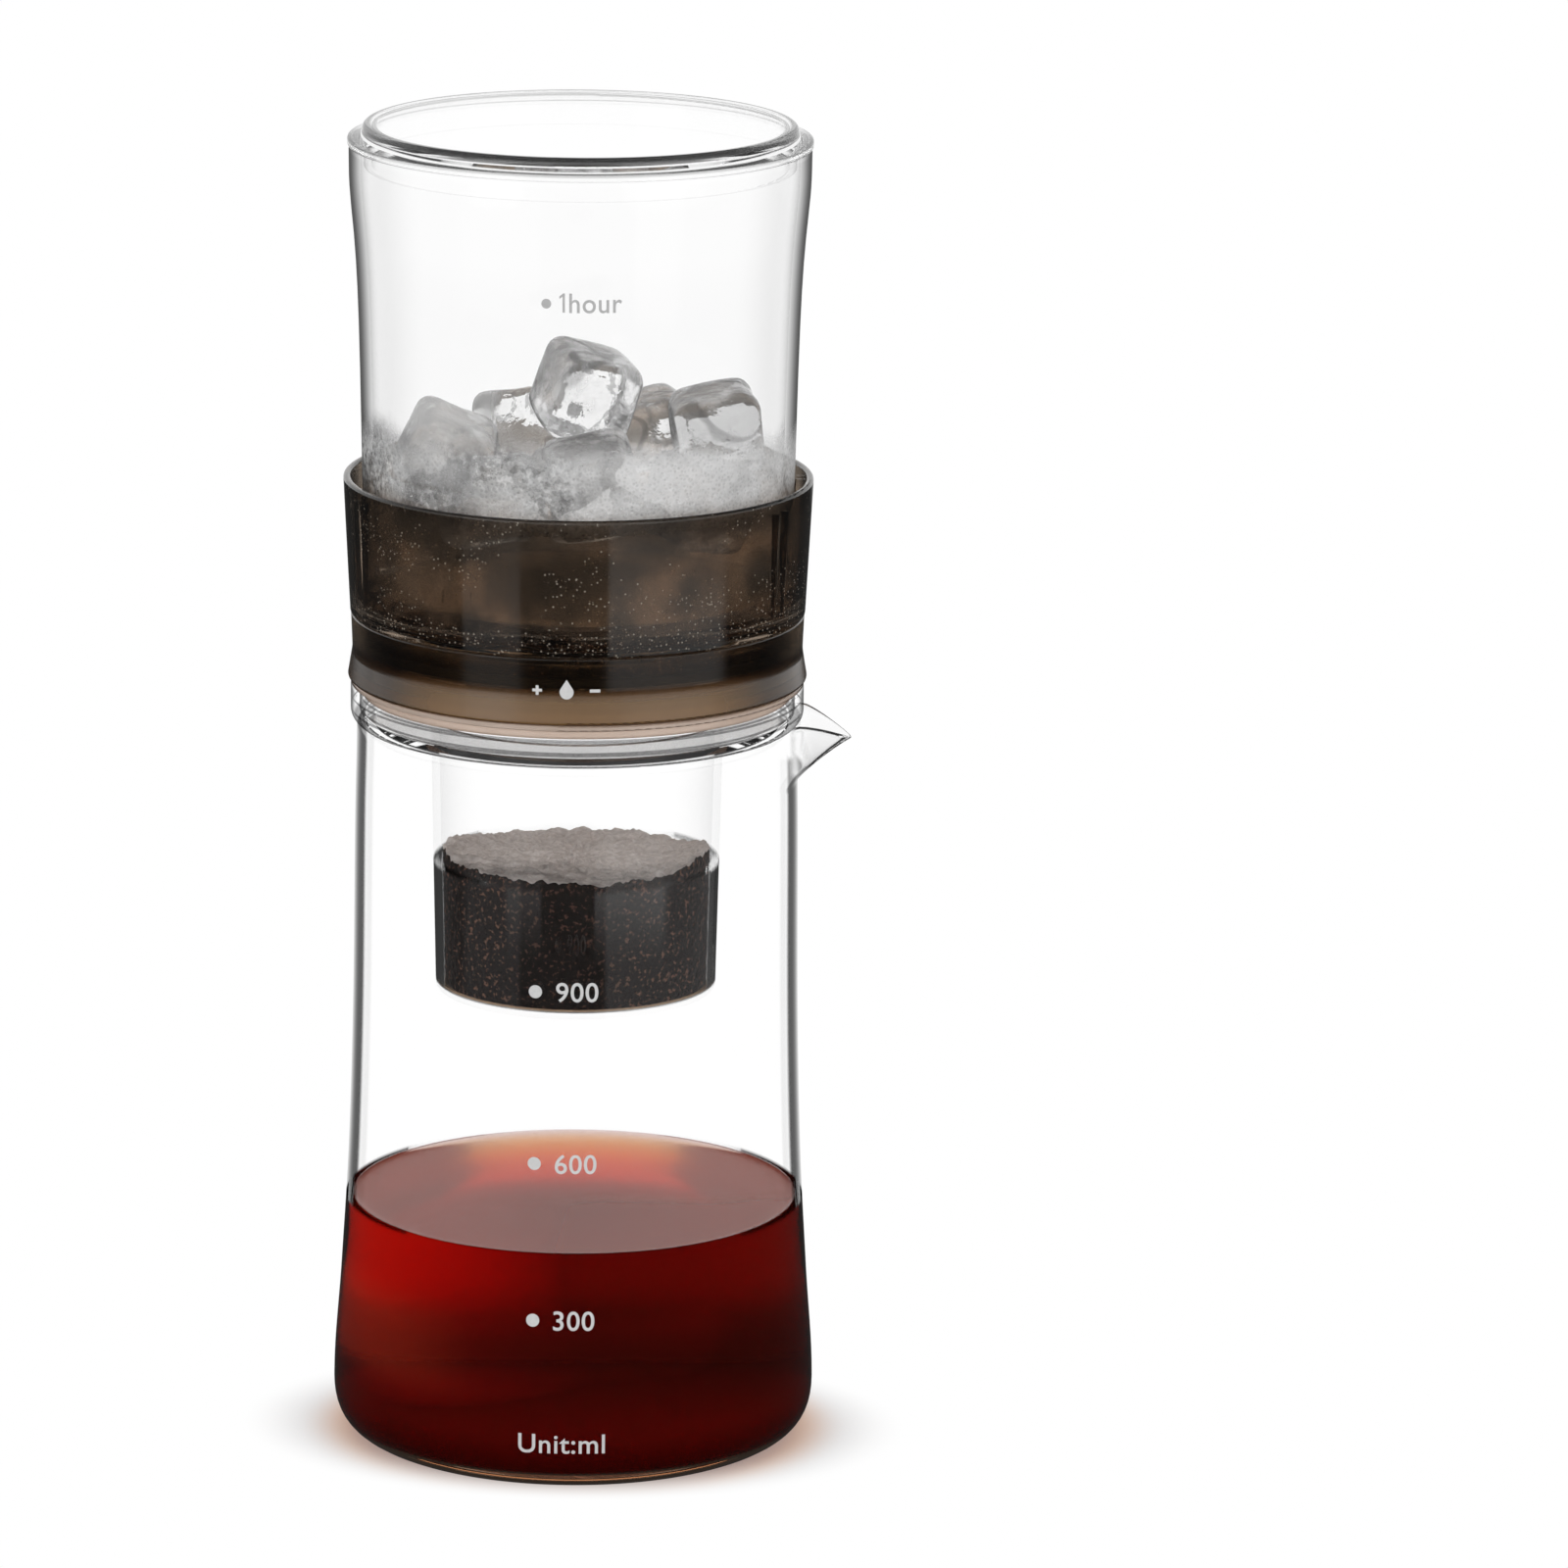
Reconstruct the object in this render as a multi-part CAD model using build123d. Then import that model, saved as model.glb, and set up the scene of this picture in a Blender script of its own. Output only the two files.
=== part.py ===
"""Cold drip coffee maker: a glass carafe, a filter basket in its neck, a drip unit with a
dial, and a water tank with a lid. Millimetres, +Z up. The origin is the centre of the
carafe's foot, and the spout points along +X. Every round piece turns about Z.

The stack is worked out from the foot upwards: each level is the one below it plus a
thickness or a named clearance.
"""

from build123d import *
from math import ceil, cos, hypot, radians, sin, sqrt
import os

# ---- clearances -------------------------------------------------------------------------
RUN = 0.06  # shaft in bore, radial
LOOSE = 0.4  # spigot in a mouth, radial
TURN_GAP = 0.15  # face beside a face that turns
CONTENTS_GAP = 0.05  # contents beside the wall of the vessel that holds them
CUT = 1.0  # how far a cutter runs past what it cuts
EDGE = 0.4  # rounding of an ordinary moulded edge

# ---- carafe -----------------------------------------------------------------------------
CARAFE_H = 166.3
CARAFE_FOOT_R = 54.8
CARAFE_NECK_R = 49.6
CARAFE_WALL = 1.8
CARAFE_FLOOR = 4.0
CARAFE_CORNER_R = 12.0
CARAFE_CORNER_HANDLES = (0.65, 0.7)  # how far the corner's curve keeps to the floor and to the wall
CARAFE_LIP_ROUND = 0.8
# the wall's curve between the top of the corner and the rim: share of the height, share of the flare
CARAFE_CURVE = ((0.17, 0.683), (0.35, 0.365), (0.57, 0.173), (0.86, 0.077))

# spout
SPOUT_REACH = 12.9  # tip beyond the neck
SPOUT_DROP = 2.4  # tip below the rim
SPOUT_CREST = 2.2  # highest point of the edges above the rim
SPOUT_CREST_AT = 4.2  # that point beyond the neck, along X
SPOUT_ROOT_DEPTH = 12.6  # where the underside leaves the neck, below the rim
SPOUT_HALF_ANGLE = 45.0  # of the V, seen from above
SPOUT_TIP_R = 1.6

# brewed coffee
COFFEE_LEVEL = 55.0

# ---- filter basket ----------------------------------------------------------------------
CUP_OVERHANG = 1.4  # cup beyond the carafe's neck
CUP_WALL = 2.0
CUP_H = 8.9  # from the seat on the carafe's rim to the cup's rim
CUP_CORNER_R = 3.0
CUP_FLOOR = 2.0
SPIGOT_DEPTH = 2.2
SPIGOT_WALL = 1.8
TUBE_TOP_R = 33.0
TUBE_BOTTOM_R = 31.7
TUBE_DEPTH = 61.9
TUBE_WALL = 1.8
TUBE_FOOT_ROUND = 0.9
LEDGE_W = 2.2  # the ledge at the foot of the tube, which carries the screen
LEDGE_H = 1.2
GRID_SPOKES = 6  # moulded with the ledge
GRID_SPOKE_W = 2.0
GRID_HUB_R = 4.0

# screen, paper and grounds
MESH_T = 0.4
MESH_HOLE_R = 0.9
MESH_HOLE_PITCH = 4.6
PAPER_T = 0.4
GROUNDS_H = 29.6
GROUNDS_DISH = 0.8  # the middle of the bed lies lower than its edge

# ---- drip unit: base plate, dial and collar ---------------------------------------------
PLATE_FLANGE_T = 1.25
PLATE_T = 2.2
PLATE_SPIGOT_H = 2.3
PLATE_SPIGOT_WALL = 2.0
PLATE_SPIGOT_CLEARANCE = 0.4
TIP_HOLE_R = 5.0
SCREW_HOLE_CLEARANCE = 0.15

DIAL_H = 14.9
DIAL_TOP_INSET = 0.15  # top edge inside the collar's lower edge
DIAL_WAIST_INSET = 0.35  # waist inside the top edge
DIAL_OVERHANG = 0.7  # foot beyond the cup
DIAL_FOOT_FLARE = 0.75  # foot beyond the top edge
DIAL_WAIST_H = 6.6
DIAL_WAIST_ROUND = 9.0
DIAL_WALL = 2.45
DIAL_WEB_T = 2.2
DIAL_WEB_RISE = 2.4  # underside of the web above the dial's foot
DIAL_HUB_R = 8.0
DIAL_HUB_H = 5.6
DIAL_HUB_LIFT = 0.4  # foot of the hub above the dial's foot
DIAL_TURN = 40.0  # degrees each way
SLOT_PCR = 36.0  # radius of the circle that the posts stand on
POSTS = 3

POST_R = 4.0
POST_CLEARANCE = 0.4

COLLAR_H = 31.0
COLLAR_WALL = 1.7
COLLAR_FOOT_GAP = 1.2  # between the tank and the collar's bore, at the foot
COLLAR_RIM_GAP = 2.3  # the same at the rim
COLLAR_RIM_ROUND = 0.7
COLLAR_CORNER_R = 5.0  # inside, between floor and wall
COLLAR_SPIGOT_H = 7.8
COLLAR_SPIGOT_WALL = 2.2
COLLAR_SPIGOT_CLEARANCE = 0.35
COLLAR_FLOOR_T = 2.4
COLLAR_FLOOR_RISE = 0.2  # floor's top above the collar's lower edge
COLLAR_PADS = 6
PAD_W = 4.0
PAD_L = 7.0
PAD_INSET = 1.2  # middle of a pad inside the edge of the tank's flat foot
TRACK_ANGLE = 67.0  # each side of the front and of the back
TRACK_W = 3.4
TRACK_RIB_W = 1.0
TRACK_CLEARANCE = 0.35  # ribs beside the tank
TRACK_TOP_GAP = 3.6  # below the rim

RING_T = 2.3  # friction ring, along Z
RING_DEPTH = 1.6  # friction ring, radial
RING_RISE = 0.6  # above the foot of the collar's spigot

# ---- valve ------------------------------------------------------------------------------
BODY_R = 7.0
BODY_FLANGE_R = 9.5
BODY_FLANGE_T = 1.2
BODY_DROP = 6.6  # below the collar's floor
WASHER_T = 0.8
NUT_ACROSS_FLATS = 20.0
NUT_T = 3.2
SPINDLE_R = 5.0
SEAT_R = 5.6
SEAT_T = 1.8
SEAT_HOLE_R = 2.0
SEAT_BEVEL = 0.9  # round the seat's hole, above
NEEDLE_LENGTH = 2.0
NEEDLE_POINT_R = 0.5
SPINDLE_THREAD_LEAD = 3.0  # climb in one turn
HEX_ACROSS_FLATS = 7.0
HEX_CLEARANCE = 0.1  # between flats
TIP_R = 3.0
TIP_POINT_R = 1.5
TIP_LENGTH = 6.0
DRIP_BORE_R = 0.8
INLET_DROP = 1.5  # cross bore below the spindle's shoulder
HEX_SPARE = 0.4  # hexagon past the hub at both ends of the climb
O_RING_T = 1.4
O_RING_DEPTH = 1.0

# ---- tank and lid -----------------------------------------------------------------------
GASKET_T = 2.8
GASKET_INNER_R = 18.0
GASKET_OUTER_R = 24.0
GASKET_SEAT_DEPTH = 0.6

TANK_H = 103.2
TANK_WALL = 2.6
TANK_FLOOR = 3.0
TANK_FLARE = 3.3  # rim beyond the foot
TANK_CORNER_R = 6.0
# the tank's wall: height below the rim, share of the flare from foot to rim
TANK_CURVE = ((61.0, 0.15), (41.0, 0.30), (19.0, 0.67), (6.5, 0.97))
OUTLET_R = 6.0
STRAINER_R = 15.0
STRAINER_T = 0.8
STRAINER_HOLE_R = 0.9
STRAINER_PITCH = 3.2
LUG_R = 1.1
LUG_RISE = 21.5  # lug above the tank's foot
LUG_REACH = 1.4

WATER_LEVEL = 28.0  # above the tank's inner floor
CUBE = 20.0
CUBE_ROUND = 4.0
# the cubes: X, Y, height of the centre above the tank's inner floor, and turns about X, Y and Z
CUBES = (
    (1.5, -2.0, 44.7, 14, 16, 28),
    (1.0, -3.0, 22.0, 0, 0, 20),
    (30.5, 5.0, 35.0, 8, -10, 10),
    (-30.0, -3.0, 29.5, 14, 24, 10),
    (5.5, -28.5, 29.0, 16, -10, 8),
    (28.0, -17.5, 23.5, 10, 12, 52),
    (-17.5, -26.0, 24.5, -8, 10, 82),
    (-13.5, 19.0, 31.0, -12, 10, 55),
    (13.5, 24.0, 29.0, 8, -16, 15),
)

LID_OVERHANG = 0.3  # flange beyond the tank's rim
LID_FLANGE_T = 1.5
LID_SHELF = 3.3  # flange beyond the raised disc
LID_RISE = 3.2  # raised disc above the flange
LID_TOP_T = 2.2
LID_STEP = 1.2  # height of the bevel between flange and raised disc
LID_ROUND = 1.2  # top edge of the raised disc
LID_SPIGOT_H = 5.0
LID_SPIGOT_WALL = 1.8
LID_CLEARANCE = 0.8

# ---- fasteners --------------------------------------------------------------------------
SCREW_R = 1.4
SCREW_LENGTH = 7.0
SCREW_HEAD_R = 2.6
SCREW_HEAD_T = 1.1
SCREW_SOCKET_R = 1.0

# ---- levels, from the foot up -----------------------------------------------------------
CUP_SEAT_Z = CARAFE_H
CUP_RIM_Z = CUP_SEAT_Z + CUP_H
TUBE_FOOT_Z = CUP_SEAT_Z - TUBE_DEPTH
MESH_Z = TUBE_FOOT_Z + LEDGE_H
PAPER_Z = MESH_Z + MESH_T
GROUNDS_Z = PAPER_Z + PAPER_T

PLATE_TOP_Z = CUP_RIM_Z + PLATE_FLANGE_T
PLATE_FOOT_Z = CUP_RIM_Z - PLATE_SPIGOT_H
DIAL_Z = PLATE_TOP_Z + TURN_GAP
WEB_Z = DIAL_Z + DIAL_WEB_RISE
HUB_Z = DIAL_Z + DIAL_HUB_LIFT
HUB_TOP_Z = HUB_Z + DIAL_HUB_H
COLLAR_Z = DIAL_Z + DIAL_H + TURN_GAP
SPIGOT_FOOT_Z = COLLAR_Z - COLLAR_SPIGOT_H
FLOOR_TOP_Z = COLLAR_Z + COLLAR_FLOOR_RISE
FLOOR_Z = FLOOR_TOP_Z - COLLAR_FLOOR_T
COLLAR_RIM_Z = COLLAR_Z + COLLAR_H
GASKET_Z = FLOOR_TOP_Z - GASKET_SEAT_DEPTH
TANK_Z = GASKET_Z + GASKET_T
TANK_FLOOR_Z = TANK_Z + TANK_FLOOR
TANK_RIM_Z = TANK_Z + TANK_H
WATER_Z = TANK_FLOOR_Z + WATER_LEVEL
LID_Z = TANK_RIM_Z
LID_FLANGE_Z = LID_Z + LID_FLANGE_T

# ---- radii that follow from the ones above ----------------------------------------------
CUP_R = CARAFE_NECK_R + CUP_OVERHANG
CUP_SPIGOT_R = CARAFE_NECK_R - CARAFE_WALL - LOOSE
DIAL_FOOT_R = CUP_R + DIAL_OVERHANG
DIAL_TOP_R = DIAL_FOOT_R - DIAL_FOOT_FLARE
DIAL_WAIST_R = DIAL_TOP_R - DIAL_WAIST_INSET
DIAL_BORE_R = DIAL_TOP_R - DIAL_WALL
COLLAR_FOOT_R = DIAL_TOP_R + DIAL_TOP_INSET
TANK_FOOT_R = COLLAR_FOOT_R - (COLLAR_WALL + COLLAR_FOOT_GAP)
TANK_RIM_R = TANK_FOOT_R + TANK_FLARE
TANK_WAIST_R = TANK_FOOT_R + (TANK_RIM_R - TANK_FOOT_R) * TANK_CURVE[0][1]  # at the collar's rim
COLLAR_RIM_R = TANK_WAIST_R + COLLAR_RIM_GAP + COLLAR_WALL
PAD_R = TANK_FOOT_R - TANK_CORNER_R - PAD_INSET
LID_FLANGE_R = TANK_RIM_R + LID_OVERHANG
LID_TOP_R = LID_FLANGE_R - LID_SHELF
PLATE_SPIGOT_R = CUP_R - CUP_WALL - PLATE_SPIGOT_CLEARANCE
COLLAR_SPIGOT_R = DIAL_BORE_R - COLLAR_SPIGOT_CLEARANCE
TUBE_BORE_TOP_R = TUBE_TOP_R - TUBE_WALL
TUBE_BORE_FOOT_R = TUBE_BOTTOM_R - TUBE_WALL
BORE_R = SPINDLE_R + RUN


# ---- helpers ----------------------------------------------------------------------------
def turned(points, radii=0):
    """A solid of revolution about Z from the corners of its (radius, height) outline."""
    if radii == 0:
        outline = Polyline(*points, close=True)
    else:
        outline = FilletPolyline(*points, radius=radii, close=True)
    return revolve(Plane.XZ * make_face(outline), Axis.Z)


def ring(inner_r, outer_r, low, high):
    """A plain washer between two radii and two heights."""
    return turned([(inner_r, low), (outer_r, low), (outer_r, high), (inner_r, high)])


def rod(radius, low, high):
    """A plain cylinder on the Z axis."""
    return Pos(0, 0, low) * extrude(Circle(radius), high - low)


def around(count, radius, height, first=0.0):
    """Places spread evenly round Z, each with its X axis pointing outwards."""
    return [Rot(0, 0, first + 360.0 * i / count) * Pos(radius, 0, height) for i in range(count)]


def blend(a, b, share):
    return a + (b - a) * share


def hole_grid(reach, pitch):
    """Centres of a hexagonal field of holes inside a circle."""
    row_step = pitch * sqrt(3) / 2
    rows = ceil(reach / row_step)
    columns = ceil(reach / pitch) + 1
    places = []
    for row in range(-rows, rows + 1):
        shift = pitch / 2 if row % 2 else 0.0
        for column in range(-columns, columns + 1):
            x = column * pitch + shift
            y = row * row_step
            if hypot(x, y) <= reach:
                places.append((x, y))
    return places


def perforated(radius, low, thickness, hole_r, pitch):
    """A flat disc with a hexagonal field of round holes."""
    margin = 2 * hole_r
    places = hole_grid(radius - margin - hole_r, pitch)
    field = Sketch() + [Pos(x, y) * Circle(hole_r) for x, y in places]
    return Pos(0, 0, low) * extrude(Circle(radius) - field, thickness)


# ---- carafe -----------------------------------------------------------------------------
def carafe_wall_points(inset):
    """Stations of the carafe's wall from the top of its corner to just under its rim."""
    span = CARAFE_H - CARAFE_CORNER_R
    flare = CARAFE_FOOT_R - CARAFE_NECK_R
    return [
        (CARAFE_NECK_R + flare * share - inset, CARAFE_CORNER_R + span * height)
        for height, share in ((0.0, 1.0), *CARAFE_CURVE, (1.0, 0.0))
    ]


def carafe_outline(inset, floor_z, top_z):
    """Half of the carafe's section filled in, drawn inwards by inset and standing at floor_z."""
    wall = carafe_wall_points(inset)
    foot_r = CARAFE_FOOT_R - inset
    corner = CARAFE_CORNER_R - floor_z
    along_floor, along_wall = CARAFE_CORNER_HANDLES
    side = Spline(*wall, tangents=((0, 1), (0, 1)))
    round_corner = Bezier(
        (foot_r - corner, floor_z),
        (foot_r - corner + along_floor * corner, floor_z),
        (foot_r, CARAFE_CORNER_R - along_wall * corner),
        (foot_r, CARAFE_CORNER_R),
    )
    above = [(wall[-1][0], top_z)] if top_z > CARAFE_H else []
    rest = Polyline(wall[-1], *above, (0, top_z), (0, floor_z), (foot_r - corner, floor_z))
    return make_face([round_corner, side, rest])


def carafe_inside(inset=0.0):
    """The carafe's inner space, open upwards."""
    outline = carafe_outline(CARAFE_WALL + inset, CARAFE_FLOOR + inset, CARAFE_H + SPOUT_REACH)
    return revolve(Plane.XZ * outline, Axis.Z)


def spout_wedge(inset, top_z):
    """A V-shaped wedge on the neck: the spout's outside, or its channel when inset."""
    root_z = CARAFE_H - SPOUT_ROOT_DEPTH + inset
    half = radians(SPOUT_HALF_ANGLE)
    tip_x = CARAFE_NECK_R + SPOUT_REACH - inset / sin(half)
    tip_z = CARAFE_H - SPOUT_DROP
    heel_x = CARAFE_NECK_R - CARAFE_WALL / 3 - inset / sin(half)  # the V is born inside the wall
    back_x = CARAFE_NECK_R - SPOUT_REACH - CARAFE_WALL
    sections = []
    slope = (tip_x - heel_x) / (tip_z - root_z)
    for z in (root_z, top_z):
        x = heel_x + slope * (z - root_z)
        width = (x - back_x) * sin(half) / cos(half)
        outline = make_face(Polyline((back_x, -width), (x, 0), (back_x, width), close=True))
        section = fillet(outline.vertices().sort_by(Axis.X)[-1], SPOUT_TIP_R)
        sections.append(Pos(0, 0, z) * section)
    return loft(sections, ruled=True)


def spout_top_cut():
    """What lies above the rim and above the spout's arched edges, to be cut away."""
    start = (CARAFE_NECK_R - 2 * CARAFE_WALL, CARAFE_H)
    crest = (CARAFE_NECK_R + SPOUT_CREST_AT, CARAFE_H + SPOUT_CREST)
    tip = (CARAFE_NECK_R + SPOUT_REACH, CARAFE_H - SPOUT_DROP)
    slope = 0.75  # of the edge as it runs out past the tip
    run_out = 4 * SPOUT_REACH
    past = (tip[0] + run_out, tip[1] - slope * run_out)
    high = CARAFE_H + 4 * SPOUT_REACH
    far = -2 * CARAFE_NECK_R
    edge = Spline(start, crest, tip, tangents=((1, 0), (1, -slope)))
    box = Polyline(tip, past, (past[0], high), (far, high), (far, CARAFE_H), start)
    return extrude(Plane.XZ * make_face([edge, box]), 2 * CARAFE_NECK_R, both=True)


def make_carafe():
    section = carafe_outline(0.0, 0.0, CARAFE_H) - carafe_outline(CARAFE_WALL, CARAFE_FLOOR, CARAFE_H)
    lip = section.vertices().group_by(Axis.Y)[-1]
    jug = revolve(Plane.XZ * fillet(lip, CARAFE_LIP_ROUND), Axis.Z)
    high = CARAFE_H + 2 * SPOUT_CREST
    spout = spout_wedge(0.0, high) - spout_top_cut() - carafe_inside()
    channel = spout_wedge(CARAFE_WALL, high + CUT)
    return jug + spout - channel


def make_brewed_coffee():
    return carafe_inside(CONTENTS_GAP) & rod(CARAFE_FOOT_R, 0, COFFEE_LEVEL)


# ---- filter basket ----------------------------------------------------------------------
def make_filter_basket():
    inner_cup_r = CUP_R - CUP_WALL
    floor_z = CUP_SEAT_Z + CUP_FLOOR
    opening_r = TUBE_BORE_FOOT_R - LEDGE_W
    cup_and_tube = turned(
        [
            (CUP_R, CUP_RIM_Z),
            (CUP_R, CUP_SEAT_Z),
            (CUP_SPIGOT_R, CUP_SEAT_Z),
            (CUP_SPIGOT_R, CUP_SEAT_Z - SPIGOT_DEPTH),
            (CUP_SPIGOT_R - SPIGOT_WALL, CUP_SEAT_Z - SPIGOT_DEPTH),
            (CUP_SPIGOT_R - SPIGOT_WALL, CUP_SEAT_Z),
            (TUBE_TOP_R, CUP_SEAT_Z),
            (TUBE_BOTTOM_R, TUBE_FOOT_Z),
            (opening_r, TUBE_FOOT_Z),
            (opening_r, MESH_Z),
            (TUBE_BORE_FOOT_R, MESH_Z),
            (TUBE_BORE_TOP_R, floor_z),
            (inner_cup_r, floor_z),
            (inner_cup_r, CUP_RIM_Z),
        ],
        [
            0.35 * CUP_WALL,
            CUP_CORNER_R,
            0,
            0.25 * SPIGOT_WALL,
            0.25 * SPIGOT_WALL,
            0,
            0.4 * TUBE_WALL,
            TUBE_FOOT_ROUND,
            0,
            0,
            0,
            0.5 * TUBE_WALL,
            0.5 * CUP_WALL,
            0.35 * CUP_WALL,
        ],
    )
    hub = rod(GRID_HUB_R, TUBE_FOOT_Z, MESH_Z)
    reach = opening_r + LEDGE_W / 2
    spokes = [
        place * Box(reach, GRID_SPOKE_W, LEDGE_H)
        for place in around(GRID_SPOKES, reach / 2, TUBE_FOOT_Z + LEDGE_H / 2)
    ]
    return cup_and_tube + hub + spokes


def screen_r():
    """Radius of what lies on the tube's ledge."""
    return TUBE_BORE_FOOT_R - CONTENTS_GAP


def make_screen_mesh():
    return perforated(screen_r(), MESH_Z, MESH_T, MESH_HOLE_R, MESH_HOLE_PITCH)


def make_paper_filter():
    return rod(screen_r(), PAPER_Z, PAPER_Z + PAPER_T)


def tube_bore_r(z):
    share = (z - MESH_Z) / (CUP_SEAT_Z + CUP_FLOOR - MESH_Z)
    return blend(TUBE_BORE_FOOT_R, TUBE_BORE_TOP_R, share)


def make_coffee_grounds():
    top = GROUNDS_Z + GROUNDS_H
    return turned([
        (0, GROUNDS_Z),
        (tube_bore_r(GROUNDS_Z) - CONTENTS_GAP, GROUNDS_Z),
        (tube_bore_r(top) - CONTENTS_GAP, top),
        (0, top - GROUNDS_DISH),
    ])


# ---- drip unit --------------------------------------------------------------------------
def make_base_plate():
    inner = PLATE_SPIGOT_R - PLATE_SPIGOT_WALL
    plate = turned(
        [
            (CUP_R, PLATE_TOP_Z),
            (CUP_R, CUP_RIM_Z),
            (PLATE_SPIGOT_R, CUP_RIM_Z),
            (PLATE_SPIGOT_R, PLATE_FOOT_Z),
            (inner, PLATE_FOOT_Z),
            (inner, PLATE_TOP_Z - PLATE_T),
            (TIP_HOLE_R, PLATE_TOP_Z - PLATE_T),
            (TIP_HOLE_R, PLATE_TOP_Z),
        ],
        [EDGE, EDGE, 0, EDGE, EDGE, 0, EDGE, EDGE],
    )
    bores = [
        place * Cylinder(SCREW_R + SCREW_HOLE_CLEARANCE, 2 * PLATE_T + CUT)
        for place in around(POSTS, SLOT_PCR, PLATE_TOP_Z)
    ]
    recesses = [
        place * Cylinder(SCREW_HEAD_R + SCREW_HOLE_CLEARANCE, 2 * SCREW_HEAD_T)
        for place in around(POSTS, SLOT_PCR, PLATE_TOP_Z - PLATE_T)
    ]
    return plate - bores - recesses


def slot_cutter():
    """One arc slot of the dial's web, with its middle on +X."""
    half_width = POST_R + POST_CLEARANCE
    inner = SLOT_PCR - half_width
    outer = SLOT_PCR + half_width
    low = WEB_Z - CUT
    high = WEB_Z + DIAL_WEB_T + CUT
    section = make_face(Polyline((inner, low), (outer, low), (outer, high), (inner, high), close=True))
    band = Rot(0, 0, -DIAL_TURN) * revolve(Plane.XZ * section, Axis.Z, revolution_arc=2 * DIAL_TURN)
    end = Pos(SLOT_PCR, 0, 0) * rod(half_width, low, high)
    ends = [Rot(0, 0, side * DIAL_TURN) * end for side in (-1, 1)]
    return band + ends


def hexagon(across_flats, low, high):
    face = RegularPolygon(across_flats / 2, 6, major_radius=False)
    return Pos(0, 0, low) * extrude(face, high - low)


def make_dial():
    foot = DIAL_Z
    top = DIAL_Z + DIAL_H
    web_top = WEB_Z + DIAL_WEB_T
    shell = turned(
        [
            (DIAL_FOOT_R, foot),
            (DIAL_WAIST_R, foot + DIAL_WAIST_H),
            (DIAL_TOP_R, top),
            (DIAL_BORE_R, top),
            (DIAL_BORE_R, web_top),
            (DIAL_HUB_R, web_top),
            (DIAL_HUB_R, HUB_TOP_Z),
            (0, HUB_TOP_Z),
            (0, HUB_Z),
            (DIAL_HUB_R, HUB_Z),
            (DIAL_HUB_R, WEB_Z),
            (DIAL_BORE_R, WEB_Z),
            (DIAL_BORE_R, foot),
        ],
        [0.6, DIAL_WAIST_ROUND, EDGE, EDGE, 0.8, EDGE, EDGE, 0, 0, EDGE, EDGE, 0.8, EDGE],
    )
    slots = [Rot(0, 0, 360.0 * i / POSTS) * slot_cutter() for i in range(POSTS)]
    socket = hexagon(HEX_ACROSS_FLATS + HEX_CLEARANCE, HUB_Z - CUT, HUB_TOP_Z + CUT)
    return shell - slots - socket


def ring_seat_z():
    return SPIGOT_FOOT_Z + RING_RISE


def make_friction_ring():
    low = ring_seat_z()
    high = low + RING_T
    outer = DIAL_BORE_R - RUN
    inner = outer - RING_DEPTH
    return turned([(inner, low), (outer, low), (outer, high), (inner, high)], [0, EDGE, EDGE, 0])


def collar_bore_r(z):
    share = (z - COLLAR_Z) / COLLAR_H
    return blend(COLLAR_FOOT_R, COLLAR_RIM_R, share) - COLLAR_WALL


def lug_angles():
    """Directions of the four tracks and of the tank's lugs: either side of the front and of the back."""
    return (-90 - TRACK_ANGLE, -90 + TRACK_ANGLE, 90 - TRACK_ANGLE, 90 + TRACK_ANGLE)


def track_ribs():
    """Pairs of upright ribs inside the collar that guide the tank's lugs."""
    low = COLLAR_Z
    high = COLLAR_RIM_Z - TRACK_TOP_GAP
    inner = TANK_WAIST_R + TRACK_CLEARANCE
    reach = COLLAR_RIM_R - inner
    ribs = []
    for angle in lug_angles():
        for side in (-1, 1):
            offset = side * (TRACK_W + TRACK_RIB_W) / 2
            place = Pos(inner + reach / 2, offset, (low + high) / 2)
            ribs.append(Rot(0, 0, angle) * place * Box(reach, TRACK_RIB_W, high - low))
    return ribs


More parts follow.
